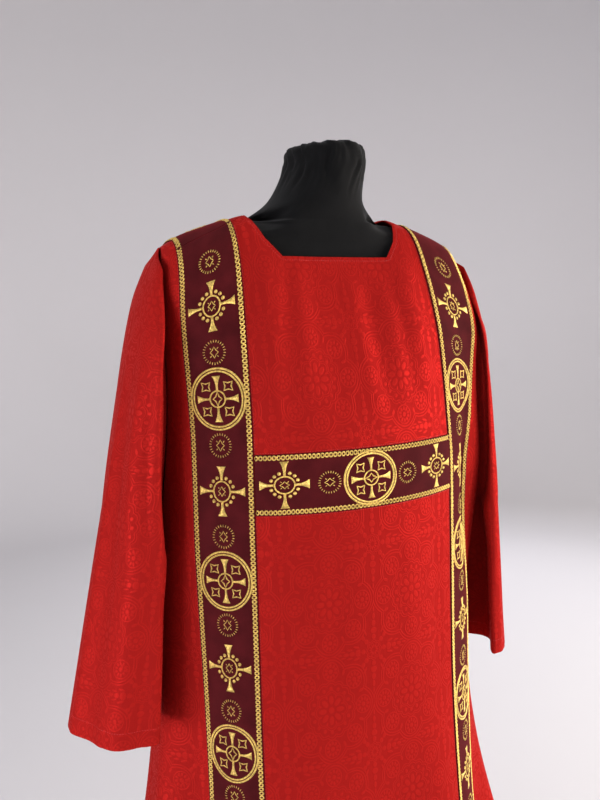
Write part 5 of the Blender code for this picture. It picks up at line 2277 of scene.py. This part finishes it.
@dataclass
class DressForm:
    """The limbless dress form in its jersey cover, gathered over the top of the neck.

    Attributes:
        jersey: the cover's finish.
        levels: how many times the form's faces are divided.
        pleat: depth of the gathers, in metres.
        gather_start: height above the shoulder where the gathers start and where they are full.
        lean: how far the top of the neck leans to the wearer's left.
        taller: how far the stuffed top of the cover stands up.
        slimmer: the share by which the cover draws the neck in.
    """

    jersey: Material
    levels: int = 2
    pleat: float = 0.0016
    gather_start: Pair = (0.012, 0.050)
    lean: float = 0.016
    taller: float = 0.0145
    slimmer: float = 0.07

    PLEATS = ((13, 0.4, 1.0), (21, 2.1, 0.7), (34, 4.4, 0.45))  # number round the neck, turn, depth
    SPIRAL = 26  # how fast the pleats turn as they rise, in radians to the metre
    TWIST, TWIST_GRAIN = 0.35, 30  # how far the pleats wander, and how finely, to the metre
    CRUMPLES = ((70, 1.0), (150, 0.6))  # how fine, to the metre, and how deep
    WAVE_SHARE = 0.7  # the pleats' depth against the crumples'
    OUTWARD, UPWARD = 0.85, 0.5  # which way the gathers stand up, near the top
    TOP_RIM = (0.06, 0.08)  # heights between which the gathers turn upward
    FLAT_RADIUS = 0.03  # where the gathers start to die away towards the middle of the top
    LEAN_END = 0.055  # height where the lean is full
    NECK_MIDDLE = -0.016  # its Y
    TINY = 1e-5  # a length, in metres, that counts as nought
    FLAT_TURN, FLAT_SKEW = 0.7, 1.2  # how unlike, in radians, two triangles may be that make one face

    def gathered(self, place: Vector) -> Vector:
        """Moves a point of the cover by the gathers.

        Args:
            place: the point.

        Returns:
            Where it comes to lie.
        """
        height = place.z - SHOULDER_HEIGHT
        above = float(ease(0.0, self.LEAN_END, np.array(height)))
        place = Vector((place.x * (1 - self.slimmer * above), place.y, place.z))
        place += Vector((self.lean, 0, self.taller)) * above
        share = float(ease(*self.gather_start, np.array(height)))
        out = Vector((place.x, place.y - self.NECK_MIDDLE, 0))
        if share == 0 or out.length < self.TINY:
            return place
        grain = self.TWIST_GRAIN
        twist = self.TWIST * noise.noise(Vector((place.x * grain, place.y * grain, height * grain)))
        turn = math.atan2(out.y, out.x) + twist
        wave = sum(
            depth * math.sin(count * turn + phase + self.SPIRAL * height)
            for count, phase, depth in self.PLEATS
        )
        crumple = sum(depth * noise.noise(place * fine) for fine, depth in self.CRUMPLES)
        reach = min(out.length / self.FLAT_RADIUS, 1.0)
        rise = Vector((0, 0, self.UPWARD * ease(*self.TOP_RIM, np.array(height))))
        way = (out.normalized() * self.OUTWARD + rise).normalized()
        return place + way * self.pleat * share * reach * (wave * self.WAVE_SHARE + crumple)

    def build(self) -> Object:
        """Makes the form.

        Returns:
            The form.
        """
        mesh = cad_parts["dress_form"].data.copy()
        bm = bmesh.new()
        bm.from_mesh(mesh)
        bmesh.ops.remove_doubles(bm, verts=bm.verts, dist=self.TINY)
        bmesh.ops.join_triangles(
            bm, faces=bm.faces, angle_face_threshold=self.FLAT_TURN, angle_shape_threshold=self.FLAT_SKEW
        )
        bm.to_mesh(mesh)
        bm.free()
        rough = show("dress_form_rough", mesh)
        rounded = rough.modifiers.new("round", "SUBSURF")
        rounded.levels = rounded.render_levels = self.levels
        smooth_mesh = plain_mesh(rough)
        bpy.data.objects.remove(rough)
        for vertex in smooth_mesh.vertices:
            vertex.co = self.gathered(vertex.co)
        smooth_mesh.shade_smooth()
        piece = show("dress_form_cover", smooth_mesh)
        dress(piece, self.jersey, Slot.FORM, "dress_form")
        return piece


@dataclass
class Stand:
    """The turned steel foot and its pole.

    Attributes:
        coat: the steel's finish.
        segments: faces round each turned piece.
        pole_radius: the pole's radius.
        base_radius: the foot's radius.
        base_thickness: the foot's thickness inside its rounded rim.
        boss: radius and height of the boss that holds the pole.
        underside: the form's underside, below the shoulder.
    """

    coat: Material
    segments: int = 96
    pole_radius: float = 0.0125
    base_radius: float = 0.200
    base_thickness: float = 0.012
    boss: Pair = (0.030, 0.045)
    underside: float = 0.680

    FOOT_EDGE, POLE_EDGE = 0.0012, 0.0006  # how far their edges are rounded
    EDGE_STEPS = 3
    EDGE_TURN = 28  # least turn of an edge that is rounded, in degrees

    def turned(self, name: str, profile: Sequence[Pair], bevel: float) -> Object:
        """Turns a piece with rounded edges.

        Args:
            name: the piece's name.
            profile: radius and height, from the top down, both ends on the axis.
            bevel: how far its edges are rounded.

        Returns:
            The piece.
        """
        piece = show(name, turned_mesh(name, profile, self.segments))
        rounded = piece.modifiers.new("rounded", "BEVEL")
        rounded.width = bevel
        rounded.segments = self.EDGE_STEPS
        rounded.limit_method = "ANGLE"
        rounded.angle_limit = math.radians(self.EDGE_TURN)
        rounded.harden_normals = True
        return piece

    def build(self) -> None:
        """Makes the foot and the pole."""
        boss, height = self.boss
        rim, thick = self.base_radius, self.base_thickness
        profile = [
            (0, height), (boss * 0.8, height), (boss, height * 0.85), (boss * 1.15, thick * 1.4),
            (rim - 0.020, thick), (rim - 0.003, thick * 0.7), (rim, thick * 0.35), (rim, 0), (0, 0),
        ]
        foot = self.turned("stand_base_turned", profile, self.FOOT_EDGE)
        dress(foot, self.coat, Slot.STAND, "stand_base")
        top, bottom = SHOULDER_HEIGHT - self.underside - LAY_GAP, height + LAY_GAP
        profile = [(0, top), (self.pole_radius, top), (self.pole_radius, bottom), (0, bottom)]
        pole = self.turned("stand_pole_tube", profile, self.POLE_EDGE)
        dress(pole, self.coat, Slot.STAND, "stand_pole")


# ---- the studio
@dataclass(frozen=True)
class SoftLight:
    """A large rectangular soft light aimed at the garment.

    Attributes:
        name: what it does.
        place: its middle, in metres.
        aim: what it faces.
        size: its width and height, in metres.
        power: its power in watts.
        colour: its colour.
    """

    name: str
    place: tuple[float, float, float]
    aim: tuple[float, float, float]
    size: Pair
    power: float
    colour: str = "#FFFFFF"

    def build(self) -> None:
        """Makes the light."""
        light = bpy.data.lights.new(self.name, "AREA")
        light.shape = "RECTANGLE"
        light.size, light.size_y = self.size
        light.energy = self.power
        light.color = linear(self.colour)[:3]
        lamp = bpy.data.objects.new(self.name, light)
        lamp.location = self.place
        lamp.rotation_euler = (Vector(self.aim) - Vector(self.place)).to_track_quat("-Z", "Y").to_euler()
        bpy.context.scene.collection.objects.link(lamp)


@dataclass
class Studio:
    """A round pale room with soft lights and the camera.

    Attributes:
        floor_radius: radius of the flat floor.
        bend: radius of the bend from the floor to the wall.
        height: the wall's height.
        lights: the soft lights.
        world: the colour of the light from all round.
        world_strength: its strength.
    """

    floor_radius: float = 3.4
    bend: float = 1.4
    height: float = 4.2
    lights: tuple[SoftLight, ...] = (
        SoftLight("key", (3.2, -1.3, 1.5), (0.0, 0.0, 1.0), (2.4, 2.4), 192.0, "#FFF8F0"),
        SoftLight("fill", (-3.3, -1.35, 0.6), (0.0, 0.0, 0.8), (2.4, 1.8), 148.0, "#F4F5FF"),
        SoftLight("front", (2.1, -3.0, 1.2), (0.1, 0.0, 0.95), (1.8, 1.8), 26.0),
        SoftLight("top", (0.0, 0.2, 3.6), (0.0, 0.0, 1.0), (2.6, 2.6), 36.0),
        SoftLight("back", (2.3, 2.4, 1.9), (0.0, 0.0, 1.0), (2.4, 2.0), 45.0, "#F4F5FF"),
    )
    world: str = "#DCD9DE"
    world_strength: float = 0.30

    BEND_STEPS = 12
    SEGMENTS = 96  # faces round the room
    CAMERA_DISTANCE = 1.0424  # from the form's axis, in metres
    CAMERA_AZIMUTH = 25.889  # round the form from its front towards the wearer's right, in degrees
    CAMERA_DROP = 0.1181  # below the shoulder
    VIEW = (24.74, 7.416, -1.022)  # turn to the right, tilt down and roll, in degrees
    SENSOR = 36  # width of the camera's sensor, in mm
    FOCAL = SENSOR * 734.5 / 800

    def room(self) -> None:
        """Makes the floor, bent up into a round wall."""
        profile = [(0.0, 0.0), (self.floor_radius, 0.0)]
        for k in range(1, self.BEND_STEPS + 1):
            turn = math.pi / 2 * k / self.BEND_STEPS
            profile.append((
                self.floor_radius + self.bend * math.sin(turn), self.bend * (1 - math.cos(turn))
            ))
        profile.append((self.floor_radius + self.bend, self.height))
        floor = show("studio_floor", turned_mesh("studio_floor", profile, self.SEGMENTS))
        floor.data.materials.append(StudioFloor().build())

    def camera(self) -> None:
        """Makes the camera."""
        yaw, pitch, roll = (math.radians(v) for v in self.VIEW)
        azimuth = math.radians(self.CAMERA_AZIMUTH)
        ahead = Vector((math.sin(yaw) * math.cos(pitch), math.cos(yaw) * math.cos(pitch), -math.sin(pitch)))
        level = Vector((math.cos(yaw), -math.sin(yaw), 0))
        right = level * math.cos(roll) + level.cross(ahead) * math.sin(roll)
        up = right.cross(ahead)
        lens = bpy.data.cameras.new("camera")
        lens.sensor_fit = "AUTO"
        lens.sensor_width = self.SENSOR
        lens.lens = self.FOCAL
        lens.clip_start = 0.02
        camera = bpy.data.objects.new("camera", lens)
        place = Vector((
            -self.CAMERA_DISTANCE * math.sin(azimuth), -self.CAMERA_DISTANCE * math.cos(azimuth),
            SHOULDER_HEIGHT - self.CAMERA_DROP,
        ))
        turn = Matrix((right, up, -ahead)).transposed().to_4x4()
        camera.matrix_world = Matrix.Translation(place) @ turn
        bpy.context.scene.collection.objects.link(camera)
        bpy.context.scene.camera = camera

    def build(self) -> None:
        """Makes the room, the lights and the camera."""
        self.room()
        for light in self.lights:
            light.build()
        world = bpy.data.worlds.new("studio")
        world.use_nodes = True
        background = world.node_tree.nodes["Background"]
        feed(background, {"Color": linear(self.world), "Strength": self.world_strength})
        bpy.context.scene.world = world
        bpy.context.scene.view_settings.view_transform = "Standard"
        self.camera()


def main() -> None:
    """Builds the stand, the form, the garment and the studio."""
    logging.basicConfig(level=logging.INFO, format="%(name)s: %(message)s")
    Stand(PowderCoat().build()).build()
    form = DressForm(Jersey().build()).build()
    gold = Embroidery(GoldThread().build())
    Garment(Damask().build(), Velvet().build(), SewingThread().build(), gold).build(form)
    Studio().build()


if __name__ == "__main__":
    main()
